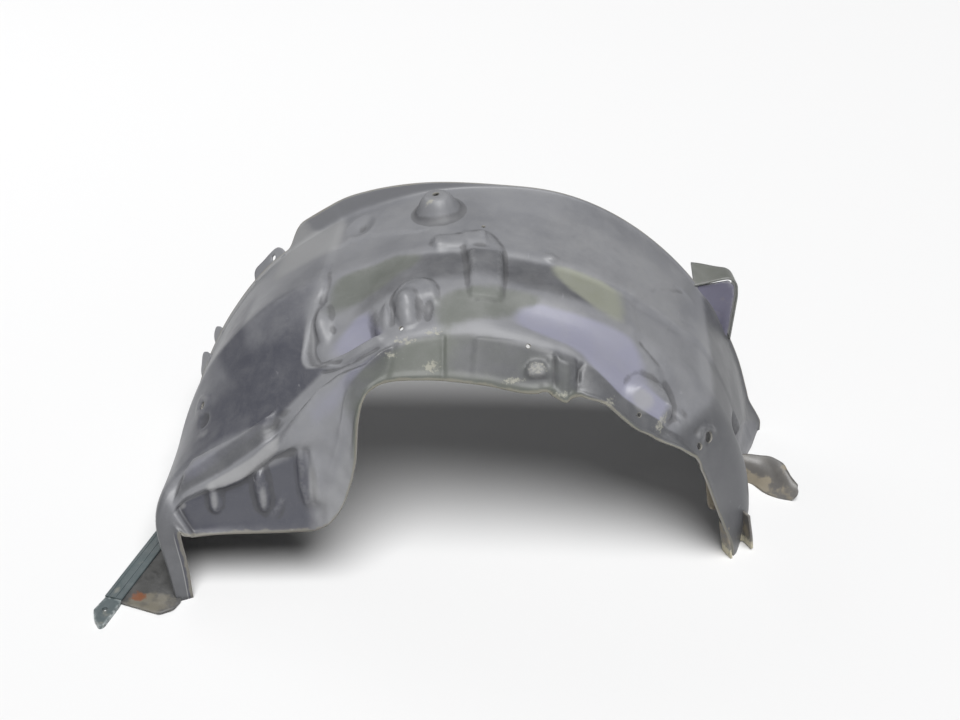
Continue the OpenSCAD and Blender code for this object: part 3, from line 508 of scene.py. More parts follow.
# Spots on the inner wall: weight, x, z, turn, half sizes, softness
wallSpots = {
    "dirt": [(0.7, -52, 339, 0, (20, 10), 0.9), (0.6, -50, 374, 0, (16, 5), 0.9), (0.7, 54, 320, 0, (24, 5), 0.9),
             (0.55, 84, 332, 0, (18, 11), 0.7), (0.8, 172, 288, 0, (24, 8), 0.8), (0.7, 112, 300, 0, (26, 6), 0.8),
             (0.7, 250, 244, 0, (14, 8), 0.8), (0.5, -86, 366, 0, (26, 6), 0.8), (0.6, -105, 352, 0, (16, 5), 0.8)],
    # dark spot in the drain opening: painted shade
    "gloom": [(1, 320, 198, 0, (9, 12), 0.5)],
    # light spots on the half-moon, the brow, the leg's ribs and low on the front leg; the brow's is a painted highlight
    "pale": [(0.6, 84, 330, 0, (19, 15), 0.6), (0.9, 222, 274, -43, (34, 14), 0.9), (0.8, -344, 147, 0, (7, 20), 0.6),
             (0.7, -278, 154, 0, (8, 29), 0.6), (0.7, -211, 180, 0, (9, 42), 0.6), (0.8, -390, 135, 0, (8, 7), 0.7)]}
# Spots on the crown: weight, angle, y, half sizes, softness
crownSpots = {"dirt": [(0.9, 97.8, 76, (10, 4), 0.6)],
              # the light top of the cone boss is a painted highlight
              "pale": [(0.6, 153.8, -130, (18, 16), 0.8), (0.4, 96.3, 86, (20, 20), 0.4)]}


def colourMasks(k):
    s, v, crease, pocket = k.s, k.v, creaseStation(k.v), pocketWall(k.v)
    m = {name: np.zeros(s.shape) for name in softening}
    for name in m:
        m[name] += sum(w * between(s, v, *patch) for w, *patch in patches.get(name, []))
        for spots, place in ((wallSpots, k.onWall), (crownSpots, k.onCrown)):
            m[name] += sum(w * oval(place(*at), half, flat) for w, *at, half, flat in spots.get(name, []))
    m["green"] += 0.7 * ease((v - 5.82) / 0.15) * span(s, 30, 128, 6)
    # lavender on the pocket's floor: painted reflection
    inPocket = between(s, v, (109, 122), [(122, 3.9), (109, 3.85)], [(122, 4.25), (115, 4.6), (110, 4.75)], 2.5, 0.2)
    m["lilac"] += ease((122 - s) / 11) * inPocket
    # dark slate front of the crown, fading paler to the fender edge as painted shading of the curve, then the foot's
    # strip, and painted shade on the rear corner's face below its crease
    front = ease((s - crease - 0.3) / 0.9) * ease((170 - s) / 10)
    front *= np.maximum(curve(v, (1.25, 0), (1.8, 0.34), (3.0, 0.5), (3.3, 0.56), (3.65, 1)),
                        0.75 * ease((v - 1.2) / 0.5) * span(s, 136, 146, 5))
    front *= ease((curve(s, (172, 4.5), (160, 4.2), (147, 4.3), (142, 4.75), (122, 4.8)) - v) / 0.5)
    below = curve(v, (1, 0), (1.1, 2), (1.5, 10.5), (1.88, 16), (2.4, 19)) - s
    m["slate"] += front + 0.95 * ease((s - 173) / 3) * ease((v - 5.5) / 0.1)
    m["slate"] += 0.9 * ease(below / 1.5) * span(v, 1.05, 2.3, 0.2) * ease((18 - below) / 6)
    # darker tone on the wall by the cutout and at the ends of both legs: painted shade
    m["dusk"] += 0.75 * ease((v - 4.95) / 0.25) * span(s, 24, 124, 7)
    m["dusk"] += 0.7 * ease((s - 164) / 6) + 0.85 * ease((37 - s) / 6)
    # shade in the pocket's corners, the valley over the leg and along the crease
    m["gloom"] += 0.6 * span(s, pocket - 0.4, pocket + 1.8, 1) * span(v, 3.8, 4.5, 0.3)
    m["gloom"] += span(s, 119.5, 122.3, 1) * span(v, 4.1, 4.5, 0.15)
    m["gloom"] += 0.8 * span(s, 136.5, 139.5, 2) * span(v, 4.4, 4.7, 0.2)
    m["gloom"] += 0.9 * span(s, crease - 1.9, crease - 0.4, 0.5) * span(v, 3.2, 4.35, 0.3)
    # light edges, the leg hole's ring and the paler lower leg, with painted highlights on the top of the front leg and
    # on the crown's middle
    m["pale"] += 0.8 * ease((1.06 - v) / 0.05) * ease((s - 124) / 3) + 0.9 * streak(v - 5.5, 0.06) * ease((s - 174) / 3)
    m["pale"] += 0.7 * streak(far(k.onCrown(*legHole)) - 13, 4) + 0.85 * span(s, 119, 133, 6) * span(v, 0.95, 1.6, 0.4)
    m["pale"] += 0.5 * ease((v - 5.5) / 0.3) * span(s, 124, 139, 5)
    m["pale"] += 0.45 * span(s, 40, 78, 12) * span(v, 1.25, 2.5, 0.3)
    return {name: blur(np.clip(m[name], 0, 1), times) for name, times in softening.items()}


ringPoints = 32


def circle(x, y, radius):
    return np.array([(x + radius * math.cos(t), y + radius * math.sin(t))
                     for t in np.linspace(0, 2 * math.pi, ringPoints, endpoint=False)])


def holeWall(centre, axis, radius, start):
    # rings from a hole's front edge to its back edge, and the faces between them
    side = unit(np.cross(axis, [0, 1, 0.3]))
    up = np.cross(side, axis)
    rings = [(0.35, 0.5), (0.1, -0.15), (-arch["wall"], -0.15), (-arch["wall"] - 0.3, 0.4)]
    points = [centre + axis * depth + side * a + up * b
              for depth, more in rings for a, b in circle(0, 0, radius + more)]
    faces = [tuple(start + r * ringPoints + c % ringPoints for r, c in ((i, j), (i + 1, j), (i + 1, j + 1), (i, j + 1)))
             for i in range(len(rings) - 1) for j in range(ringPoints)]
    return points, faces


def buildMoulding():
    stations = spaced([(-4, 30, 66), (30, 60, 66), (60, 124, 160), (124, 162, 92), (162, 184, 34)],
                      [(h[0], h[2] / 7.2) for h in holes.values()])
    across = spaced([(0, 1, 8), (1, 2, 48), (2, 3, 8), (3, 4, 40), (4, 5, 34), (5, 6, 40)],
                    [(h[1], h[2] / (150 if h[1] < 2 else 80)) for h in holes.values()])
    stations = stations[::-1]
    k = Skin(stations, across)
    outer = k.p + relief(k)[..., None] * k.n
    outer[..., 2] = np.maximum(outer[..., 2], 0)
    n = facing(outer)
    ends = n.copy()
    for row in (0, -1):
        ends[row, :, 2] = 0
        ends[row] = unit(ends[row])
    inner = outer - arch["wall"] * ends
    inner[..., 2] = np.maximum(inner[..., 2], 0)
    bend = curvature(outer, n, 2) - curvature(k.p, k.n, 2)
    rows, cols = outer.shape[:2]
    print("moulding:", rows, "by", cols, "points")
    skip = np.zeros((rows - 1, cols - 1), bool)
    backSkip = skip.copy()
    tubes, tubeFaces = [], []
    for hs, hv, radius in holes.values():
        i, j = np.abs(stations - hs).argmin(), np.abs(across - hv).argmin()
        centre, axis = outer[i, j].copy(), blurredNormal(n, i, j)
        skip |= pierce(outer, centre, axis, radius)
        backSkip |= pierce(inner, centre - arch["wall"] * axis, axis, radius)
        more, moreFaces = holeWall(centre, axis, radius, len(tubes))
        tubes, tubeFaces = tubes + more, tubeFaces + moreFaces
    # outer skin with its borders: outer grid, then the inner edge's points
    points = [outer.reshape(-1, 3)]
    faces = gridFaces(rows, cols, skip)
    borders = [[(i, 0) for i in range(rows)], [(i, cols - 1) for i in range(rows)][::-1],
               [(0, j) for j in range(cols)][::-1], [(rows - 1, j) for j in range(cols)]]
    count = rows * cols
    for border in borders:
        points.append(np.array([inner[i, j] for i, j in border]))
        for b in range(len(border) - 1):
            p, q = border[b], border[b + 1]
            faces.append((p[0] * cols + p[1], q[0] * cols + q[1], count + b + 1, count + b))
        count += len(border)
    points.append(np.array(tubes))
    faces += [tuple(count + i for i in f) for f in tubeFaces]
    points = np.concatenate(points)
    skin = makeObject("liner.skin", points, faces)
    extra = len(points) - rows * cols
    gaps = np.linalg.norm(np.diff(outer, axis=1), axis=2)
    toLip = np.concatenate([np.zeros((rows, 1)), np.cumsum(gaps, axis=1)], 1)
    rim = np.maximum(ease(1 - (toLip[:, -1:] - toLip) / 8), ease(1 - toLip / 2))
    masks = colourMasks(k)
    masks["worn"] = np.clip(blur(np.maximum(bend - 0.3, 0), 1) / 0.5, 0, 1)
    # darkening in concave places, joined by the corner spots: painted shade
    masks["hollow"] = np.clip(blur(np.maximum(-bend - 0.2, 0), 2) / 0.5, 0, 1)
    masks["hollow"] *= 1 - 0.85 * span(k.s, 123, 140, 3) * ease((k.v - 5.2) / 0.1)
    masks["hollow"] = np.maximum(masks["hollow"], masks.pop("gloom"))
    masks["rim"] = rim
    masks["lipFace"] = ease((1.02 - k.v) / 0.08) * ease((k.s - 82) / 20) * ease((132 - k.s) / 3)
    for name, values in masks.items():
        setValues(skin, name, np.r_[values.ravel(), np.full(extra, 1.0 if name == "rim" else 0.0)])
    back = makeObject("liner.back", inner.reshape(-1, 3), gridFaces(rows, cols, backSkip, flip=True))
    setValues(back, "rim", rim)
    return [skin, back]


def blurredNormal(n, i, j):
    return unit(n[max(0, i - 4):i + 5, max(0, j - 4):j + 5].reshape(-1, 3).mean(0))


def bevelled(piece, width):
    m = piece.modifiers.new("bevel", "BEVEL")
    m.width, m.segments, m.limit_method, m.angle_limit = width / 1000, 2, "ANGLE", math.radians(35)
    return piece


def softPath(points, reach, steps=5):
    # rounds the corners of a line of points
    pts = [np.array(p, float) for p in points]
    out = [pts[0]]
    for a, b, c in zip(pts, pts[1:], pts[2:]):
        ab = b + (a - b) * min(0.45, reach / np.linalg.norm(a - b))
        cb = b + (c - b) * min(0.45, reach / np.linalg.norm(c - b))
        out += [(1 - w)**2 * ab + 2 * w * (1 - w) * b + w * w * cb for w in np.linspace(0, 1, steps)]
    return np.array(out + [pts[-1]])


def roundedLoop(corners, reach):
    return softPath(corners + corners[:2], reach)[1:-1]


def evenly(path, step):
    path = np.asarray(path, float)
    d = lengthsAlong(path)
    at = np.linspace(0, d[-1], max(2, int(d[-1] / step) + 1))
    return np.stack([np.interp(at, d, path[:, i]) for i in range(path.shape[1])], 1)


def resampled(path, count):
    at = np.linspace(0, len(path) - 1, count)
    return np.stack([np.interp(at, np.arange(len(path)), path[:, i]) for i in range(path.shape[1])], 1)


def sheetPiece(name, grid, thick, side=1):
    # a grid of points given thickness: front, back and rim faces
    grid = np.asarray(grid, float)
    rows, cols = grid.shape[:2]
    back = grid - side * thick * facing(grid)
    back[..., 2] = np.maximum(back[..., 2], 0)
    n = rows * cols
    faces = gridFaces(rows, cols, flip=side < 0) + gridFaces(rows, cols, start=n, flip=side > 0)
    ring = ([(i, 0) for i in range(rows)] + [(rows - 1, j) for j in range(1, cols)]
            + [(i, cols - 1) for i in range(rows - 2, -1, -1)] + [(0, j) for j in range(cols - 2, 0, -1)])
    for (i, j), (k, l) in zip(ring, ring[1:] + ring[:1]):
        f = (i * cols + j, k * cols + l, n + k * cols + l, n + i * cols + j)
        faces.append(f if side > 0 else f[::-1])
    piece = makeObject(name, np.concatenate([grid.reshape(-1, 3), back.reshape(-1, 3)]), faces)
    i, j = np.meshgrid(np.arange(rows), np.arange(cols), indexing="ij")
    rim = ease(1 - np.minimum(np.minimum(i, rows - 1 - i), np.minimum(j, cols - 1 - j)) / 2.2)
    setValues(piece, "worn", np.r_[rim.ravel(), rim.ravel()])
    return piece


def plate(name, outline, thick, lay, hole=None, rise=None):
    # a flat outline with thickness, cut into small cells so that it can be bent and embossed
    step = 3.0
    outline = evenly(np.vstack([outline, outline[:1]]), step)[:-1]
    loops = [outline] + ([circle(*hole)] if hole else [])
    low, high = outline.min(0), outline.max(0)
    gx, gy = np.meshgrid(np.arange(low[0] + step, high[0], step), np.arange(low[1] + step, high[1], step))
    inside = [q for q in np.stack([gx.ravel(), gy.ravel()], 1)
              if within(q, outline) and np.min(np.linalg.norm(outline - q, axis=1)) > step * 0.6
              and (not hole or math.hypot(q[0] - hole[0], q[1] - hole[1]) > hole[2] + step * 0.5)]
    points = [tuple(q) for loop in loops for q in loop] + [tuple(q) for q in inside]
    edges, start = [], 0
    for loop in loops:
        edges += [(start + i, start + (i + 1) % len(loop)) for i in range(len(loop))]
        start += len(loop)
    flat, _, faces = cdt([Vector(q) for q in points], edges, [], 2, 1e-4)[:3]
    if hole:
        faces = [f for f in faces if math.hypot(sum(flat[i][0] for i in f) / len(f) - hole[0],
                                                sum(flat[i][1] for i in f) / len(f) - hole[1]) > hole[2] * 0.97]
    n = len(flat)
    up = [rise(q[0], q[1]) if rise else 0 for q in flat]
    top = [lay(q[0], q[1], thick + h) for q, h in zip(flat, up)]
    low = [lay(q[0], q[1], h) for q, h in zip(flat, up)]
    used = {}
    for f in faces:
        for i, j in zip(f, list(f[1:]) + [f[0]]):
            used[(i, j)] = used.get((i, j), 0) + 1
    rim = [(j, i, n + i, n + j) for i, j in used if (j, i) not in used]
    both = [tuple(f) for f in faces] + [tuple(n + i for i in f[::-1]) for f in faces] + rim
    piece = makeObject(name, top + low, both)
    away = [float(ease(1 - np.min(np.linalg.norm(outline - np.array(q), axis=1)) / 3.5)) for q in flat]
    setValues(piece, "worn", away * 2)
    return piece


def within(q, outline):
    a, b = outline, np.roll(outline, -1, axis=0)
    cross = (a[:, 1] > q[1]) != (b[:, 1] > q[1])
    with np.errstate(divide="ignore", invalid="ignore"):
        x = a[:, 0] + (q[1] - a[:, 1]) * (b[:, 0] - a[:, 0]) / (b[:, 1] - a[:, 1])
    return (cross & (q[0] < x)).sum() % 2 == 1


# Tabs on the fender edge: (station, length, hole)
ears = {"lean": 30, "out": 22, "places": [(136, 72, 4.5), (157.5, 36, 0), (166, 56, 0)]}


def buildEar(i, station, length, hole):
    base = lineAt(guideLines()[0], np.array([float(station)]))[0]
    t, lean = math.radians(station), math.radians(ears["lean"])
    along = np.array([math.sin(t), 0, -math.cos(t)])
    out = np.array([math.sin(lean) * math.cos(t), math.cos(lean), math.sin(lean) * math.sin(t)])
    off = np.cross(along, out)

    def lay(x, y, h):
        return base + along * x + out * y + off * (h - arch["wall"] + 0.8 * math.sin(x / 9) * y / 22)

    h = length / 2
    outline = softPath([(-h, -4), (-h + 5, 16), (-h + 12, ears["out"]), (h - 12, ears["out"]), (h - 5, 16), (h, -4)], 7)
    return plate("liner.ear%d" % i, outline, arch["wall"], lay, (length / 6, 11, hole) if hole else None)


def buildBracket():
    bracket = {"line": [(331, 272), (385, 273), (394, 264), (396, 248), (391, 172)], "from": 149.0, "to": 197.2,
               "web": [(384, 176), (370, 204), (352, 233), (337, 252), (325, 266)]}
    line = evenly(softPath(bracket["line"], 6), 2.5)
    y = np.linspace(bracket["from"], bracket["to"], 18)
    grid = np.array([[(x, b, z) for b in y] for x, z in line])
    # the top face is twisted: its far edge falls to the right and its near edge rises
    u, far = ease((grid[..., 0] - 325) / 62), (grid[..., 1] - bracket["from"]) / 48.5
    grid[..., 2] += ((1 - u) * (13 * far - 8) + u * (4 - 10 * far)) * ease((grid[..., 2] - 244) / 22)
    strip = sheetPiece("liner.bracket", grid, arch["wall"])
    web = evenly(np.array(bracket["web"][::-1], float), 2.0)
    outer = evenly(np.array([(325, 262), (352, 266), (383, 273), (391.5, 264), (393, 248), (388.5, 173)], float), 2.0)
    across = np.linspace(0, 1, 14)
    grid = np.array([[(*(a + (b - a) * c), 150.5 + 1.2 * math.sin(3 * c + a[0] / 11)) for c in across]
                     for a, b in zip(resampled(web, 60), resampled(outer, 60))])
    grid = grid[..., [0, 2, 1]]
    return [strip, sheetPiece("liner.web", grid, 2.4, -1)]


rail = {"at": (-503.0, -251.0), "turn": 72.0, "length": 148.0, "width": 26.0, "height": 9.0, "wall": 2.0,
        "lift": 2.3, "grooves": (-0.3, -0.72), "grooveDepth": 1.1}


def onRail(x, y, z=0.0):
    t = math.radians(rail["turn"])
    return np.array([rail["at"][0] + x * math.cos(t) - y * math.sin(t),
                     rail["at"][1] + x * math.sin(t) + y * math.cos(t), z])


def buildFloorPlate():
    floorPlate = {"side": [(-424, -283), (-406, -274), (-398, -256), (-400, -245), (-417, -150), (-421, -130)],
                  "marks": [(-449, -209), (-428, -252)], "rust": (-457, -250, 17, 13), "mud": (-440, -262, 40, 26)}
    railEdge = [(126, -rail["width"] - 4), (126, 7 - rail["width"]), (-2, 7 - rail["width"])]
    outline = floorPlate["side"] + [tuple(onRail(x, y)[:2]) for x, y in railEdge]

    def rise(x, y):
        h = 0
        for cx, cy in floorPlate["marks"]:
            d = math.hypot(x - cx, y - cy)
            h += 1.1 * float(ease((12 - d) / 2.5)) - 0.5 * float(ease((8.5 - d) / 2))
        return h + 0.25 * math.sin(x / 17 + y / 23)

    foot = plate("liner.foot", roundedLoop(outline, 4), arch["wall"],
                 lambda x, y, h: np.array([x, y, rail["lift"] + h]), rise=rise)
    at = axlePoints(foot)
    for name, size, most in (("rust", 1.2, 1), ("mud", 1.3, 0.75)):
        x, y, *half = floorPlate[name]
        setValues(foot, name, np.clip(ease(size - far((at[:, 0] - x, at[:, 1] - y), half)), 0, most))
    return foot


def buildChannel():
    channel = {"wide": 33.6, "deep": 23.6, "tall": 64.0, "lean": 11.0, "turn": 28.0, "at": (379.0, -144.0, 0.0)}
    w, d = channel["wide"] / 2, channel["deep"] / 2
    section = evenly(softPath([(-w, -d), (-w, d - 1), (w, d - 1), (w, -d)], 5), 2.2)
    a, b = math.radians(channel["lean"]), math.radians(channel["turn"])
    grid = []
    for x, y in section:
        row = []
        for h in np.linspace(0, channel["tall"], 26):
            x2, z = x * math.cos(a) - h * math.sin(a), max(0.0, x * math.sin(a) + h * math.cos(a))
            wob = 0.8 * math.sin(h / 11 + x / 7)
            row.append((channel["at"][0] + x2 * math.cos(b) - (y + wob) * math.sin(b),
                        channel["at"][1] + x2 * math.sin(b) + (y + wob) * math.cos(b), z))
        grid.append(row)
    piece = sheetPiece("liner.channel", grid, arch["wall"], -1)
    at = axlePoints(piece)
    setValues(piece, "mud", ease((30 - at[:, 2]) / 22) * 0.8)
    return piece


def buildFlap():
    flap = {"low": [(392, 22, 0), (423, 14, 0), (439, -13, 0), (458, -24, 0), (475, -29, 0)],
            "high": [(392, 31, 38), (424, 28, 41), (449, 22, 42), (466, 4, 40), (476, -16, 24)],
            "curl": (9, -9, 5), "wave": 1.5}
    rows, cols = 34, 22
    low, high = (resampled(evenly(softPath(flap[side], 9), 2.5), rows) for side in ("low", "high"))
    t = np.linspace(0, 1, cols)[None, :, None]
    grid = low[:, None] + (high - low)[:, None] * t + np.array(flap["curl"]) * 4 * t * (1 - t)
    wave = flap["wave"] * np.sin(np.linspace(0, 13, rows))[:, None] * np.sin(np.linspace(0, 5, cols))[None]
    grid += wave[..., None] * facing(grid)
    grid[..., 2] = np.maximum(grid[..., 2], 0)
    return sheetPiece("liner.flap", grid, arch["wall"])


def buildTongue():
    tongue = {"corners": [(321, 140), (329, 86), (334, 79), (342, 79), (354, 98), (340, 147), (321, 140)],
              "thick": 2.5, "y": -152}
    outline = softPath(tongue["corners"], 5)[:-1]
    return plate("liner.tongue", outline, tongue["thick"], lambda x, z, h: np.array([x, tongue["y"] + h, z]))


def buildRail():
    w, h, wall = rail["width"], rail["height"], rail["wall"]
    lip = rail["lift"] + arch["wall"] + 0.3
    section = [(-w, 0), (-1, 0), (0, 1), (0, h - 1), (-1, h)]
    for share in rail["grooves"]:
        x, bottom = share * w, h - rail["grooveDepth"]
        section += [(x + 2.6, h), (x + 2.2, bottom), (x + 0.2, bottom), (x - 0.2, h)]
    section += [(1 - w, h), (-w, h - 1), (-w, lip), (-w + wall, lip), (-w + wall, h - wall), (-wall, h - wall),
                (-wall, wall), (-w, wall)]
    stops = np.linspace(0, rail["length"], 40)
    points = [onRail(x, a, b) for x in stops for a, b in section]
    n = len(section)
    faces = [(i * n + j, i * n + (j + 1) % n, (i + 1) * n + (j + 1) % n, (i + 1) * n + j)
             for i in range(len(stops) - 1) for j in range(n)]
    faces += [tuple(range(n))[::-1], tuple((len(stops) - 1) * n + j for j in range(n))]
    bar = makeObject("rail.bar", points, faces, False)
    corners = [(1, -1), (-28, 2), (-44, -8), (-55.5, -21), (-51, -w), (-14, -w), (1, 1 - w)]
    tab = plate("rail.tab", roundedLoop(corners, 3), h - 3, onRail, (-22, -12, 4))
    return [bevelled(bar, 0.35), bevelled(tab, 0.6)]


print("building the moulding")
moulding = buildMoulding()
print("building tabs, bracket and feet")
moulding += [buildEar(i + 1, *e) for i, e in enumerate(ears["places"])]
moulding += buildBracket() + [buildFloorPlate(), buildChannel(), buildFlap(), buildTongue()]
print("building the rail")
railing = buildRail()
for group, node, slot in ((moulding, "liner", "moulding"), (railing, "sill_rail", "rail")):
    for piece in group:
        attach(piece, "root")
        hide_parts(node)
pieces = moulding + railing


class Nodes:
    # adds nodes to one shader tree and links them
    def __init__(self, tree):
        self.tree, self.link = tree, tree.links.new

    def add(self, kind, links=None, **settings):
        n = self.tree.nodes.new("ShaderNode" + kind)
        for key, value in settings.items():
            setattr(n, key, value)
        for key, value in (links or {}).items():
            self.feed(value, n.inputs[key])
        return n

    def feed(self, value, socket):
        if isinstance(value, bpy.types.NodeSocket):
            self.link(value, socket)
        else:
            socket.default_value = value

    def maths(self, what, a, b=0.5, clamp=False):
        return self.add("Math", {0: a, 1: b}, operation=what, use_clamp=clamp).outputs[0]

    def times(self, a, b):
        return self.maths("MULTIPLY", a, b)

    def noise(self, scale, detail=4.0, rough=0.55, stretch=None, warp=0.0):
        where = self.add("TexCoord").outputs["Object"]
        if stretch:
            where = self.add("Mapping", {"Vector": where, "Scale": stretch[0], "Rotation": stretch[1]}).outputs[0]
        links = {"Vector": where, "Scale": scale, "Detail": detail, "Roughness": rough, "Distortion": warp}
        return self.add("TexNoise", links).outputs["Fac"]

    def remap(self, value, low, high, to=(0.0, 1.0)):
        links = {"Value": value, "From Min": low, "From Max": high, "To Min": to[0], "To Max": to[1]}
        return self.add("MapRange", links, interpolation_type="SMOOTHSTEP").outputs[0]

    def use(self, group, links):
        return self.add("Group", links, node_tree=group.tree).outputs

    def attribute(self, name):
        return self.add("Attribute", attribute_name=name, attribute_type="GEOMETRY").outputs["Fac"]

    def blend(self, mask, a, b):
        n = self.add("Mix", data_type="RGBA")
        for key, value in (("Factor", mask), ("A", a), ("B", b)):
            socket = next(i for i in n.inputs if i.name == key and i.enabled)
            self.feed((*value, 1) if isinstance(value, tuple) else value, socket)
        return next(o for o in n.outputs if o.enabled)


def newGroup(name, inputs, outputs):
    tree = bpy.data.node_groups.new(name, "ShaderNodeTree")
    for label, value in inputs.items():
        tree.interface.new_socket(label, in_out="INPUT", socket_type="NodeSocketFloat").default_value = value
    for label in outputs:
        tree.interface.new_socket(label, in_out="OUTPUT", socket_type="NodeSocketFloat")
    return Nodes(tree), tree.nodes.new("NodeGroupInput").outputs, tree.nodes.new("NodeGroupOutput").inputs


# Each group gives masks, tones or heights that the materials share
grainGroup, given, out = newGroup("surfaceGrain", {"Fine": 900.0, "Broad": 60.0}, ["Height", "Tone"])
broad = grainGroup.noise(given["Broad"], 5.0)
grain = grainGroup.add("Math", {0: grainGroup.noise(given["Fine"], 3.0), 1: 0.35, 2: broad}, operation="MULTIPLY_ADD")
grainGroup.link(grain.outputs[0], out["Height"])
grainGroup.link(broad, out["Tone"])

breakGroup, given, out = newGroup("brokenMask", {"Mask": 0.0, "Scale": 30.0, "Break": 0.6}, ["Mask"])
patchy = breakGroup.maths("SUBTRACT", breakGroup.noise(given["Scale"], 6.0, 0.62), 0.5)
patchy = breakGroup.times(patchy, given["Break"])
broken = breakGroup.remap(breakGroup.maths("ADD", given["Mask"], breakGroup.times(patchy, 2.0)), 0.25, 0.8)
breakGroup.link(breakGroup.times(broken, breakGroup.remap(given["Mask"], 0.0, 0.12)), out["Mask"])

dustGroup, given, out = newGroup("dustFilm", {"Amount": 0.5, "Scale": 40.0}, ["Mask", "Specks"])
facingUp = dustGroup.add("SeparateXYZ", {0: dustGroup.add("NewGeometry").outputs["Normal"]}).outputs["Z"]
film = dustGroup.remap(dustGroup.noise(given["Scale"], 7.0, 0.68, warp=0.4), 0.36, 0.72)
film = dustGroup.times(film, dustGroup.remap(facingUp, -0.1, 1.0))
dustGroup.link(dustGroup.times(film, given["Amount"]), out["Mask"])
dustGroup.link(dustGroup.remap(dustGroup.noise(1400.0, 2.0, 0.5), 0.66, 0.8), out["Specks"])

scuffGroup, given, out = newGroup("scuffLines", {"Amount": 0.5}, ["Mask"])
along = scuffGroup.remap(scuffGroup.noise(90.0, 3.0, 0.6, ((1.0, 0.07, 1.0), (0.3, 0.1, 0.5))), 0.69, 0.78)
across = scuffGroup.remap(scuffGroup.noise(70.0, 3.0, 0.6, ((0.06, 1.0, 1.0), (0.1, 0.5, 0.2))), 0.70, 0.79)
where = scuffGroup.remap(scuffGroup.noise(7.0, 3.0), 0.42, 0.68)
lines = scuffGroup.times(scuffGroup.maths("MAXIMUM", along, across), where)
scuffGroup.link(scuffGroup.times(lines, given["Amount"]), out["Mask"])

wearGroup, given, out = newGroup("edgeWear", {"Edge": 0.0, "Amount": 0.5, "Scale": 180.0}, ["Mask"])
uneven = wearGroup.remap(wearGroup.noise(given["Scale"], 5.0, 0.65), 0.35, 0.65)
wearGroup.link(wearGroup.maths("MULTIPLY", wearGroup.times(given["Edge"], uneven), given["Amount"], True), out["Mask"])


def makeMaterial(name, look):
    m = bpy.data.materials.new(name)
    m.use_nodes = True
    shader = m.node_tree.nodes["Principled BSDF"]
    t = Nodes(m.node_tree)
    grain = t.use(grainGroup, {"Fine": look["grain"], "Broad": 60.0})
    tone = t.noise(9.0, 5.0, 0.6)
    colour = t.blend(t.remap(tone, 0.3, 0.7), look["base"], look["other"])
    colour = t.blend(t.remap(grain["Tone"], 0.45, 0.75, (0.0, 0.35)), colour, look["other"])
    rough = t.remap(tone, 0.3, 0.7, look["rough"])
    for mask, scale, broken, amount, layerColour, moreRough in look["layers"]:
        mask = t.attribute(mask) if isinstance(mask, str) else t.remap(t.noise(*mask[:2]), *mask[2:])
        mask = t.times(t.use(breakGroup, {"Mask": mask, "Scale": scale, "Break": broken})["Mask"], amount)
        colour = t.blend(mask, colour, layerColour)
        if moreRough:
            rough = t.maths("ADD", rough, t.times(mask, moreRough), True)
    dust = t.use(dustGroup, {"Amount": look["dust"], "Scale": 26.0})
    colour = t.blend(dust["Mask"], colour, look["dustColour"])
    colour = t.blend(t.times(dust["Specks"], look["specks"]), colour, look["speckColour"])
    colour = t.blend(t.use(scuffGroup, {"Amount": look["scuff"]})["Mask"], colour, look["scuffColour"])
    worn = t.use(wearGroup, {"Edge": t.attribute("worn"), "Amount": look["wear"], "Scale": 160.0})["Mask"]
    t.link(t.blend(worn, colour, look["wearColour"]), shader.inputs["Base Color"])
    t.link(t.maths("ADD", rough, t.times(dust["Mask"], 0.35), True), shader.inputs["Roughness"])
    shader.inputs["Specular IOR Level"].default_value = look["sheen"]
    bump = t.add("Bump", {"Height": grain["Height"], "Strength": look["bump"], "Distance": 0.0012})
    t.link(bump.outputs["Normal"], shader.inputs["Normal"])
    return m


# Each layer: the mask's name, or a noise of its own (scale, detail, low, high), then the scale and strength of its
# broken edge, its amount, its colour and what it adds to the roughness
mouldingLook = {
    "base": (0.185, 0.188, 0.202), "other": (0.235, 0.238, 0.252), "rough": (0.36, 0.5), "grain": 1100.0, "sheen": 0.55,
    "bump": 0.25, "dust": 0.2, "dustColour": (0.3, 0.3, 0.3), "specks": 0.3, "speckColour": (0.62, 0.61, 0.56),
    "scuff": 0.55, "scuffColour": (0.32, 0.32, 0.34), "wear": 0.22, "wearColour": (0.3, 0.3, 0.31),
    "layers": [
        # Of these layers, the dark tone over the crown's middle, the hollows' darkening and the slate on the rear
        # corner are painted shade, the lavender is a painted reflection and the light layer holds painted highlights
        # beside pale marks.
        ("dusk", 14.0, 0.3, 0.85, (0.078, 0.08, 0.086), 0.0), ("slate", 12.0, 0.3, 0.88, (0.057, 0.059, 0.076), -0.05),
        ("green", 16.0, 0.5, 0.8, (0.118, 0.128, 0.108), 0.12), ("straw", 13.0, 0.5, 0.75, (0.3, 0.31, 0.245), 0.12),
        ("lilac", 8.0, 0.4, 0.8, (0.28, 0.28, 0.36), -0.06), ("hollow", 60.0, 0.5, 0.5, (0.05, 0.05, 0.052), 0.2),
        ("lipFace", 20.0, 0.2, 0.9, (0.19, 0.193, 0.205), 0.0), ("dirt", 210.0, 1.3, 0.65, (0.42, 0.41, 0.34), 0.4),
        ("pale", 90.0, 0.12, 0.6, (0.34, 0.34, 0.34), 0.3), ("rim", 55.0, 0.9, 0.6, (0.24, 0.225, 0.18), 0.3)]}
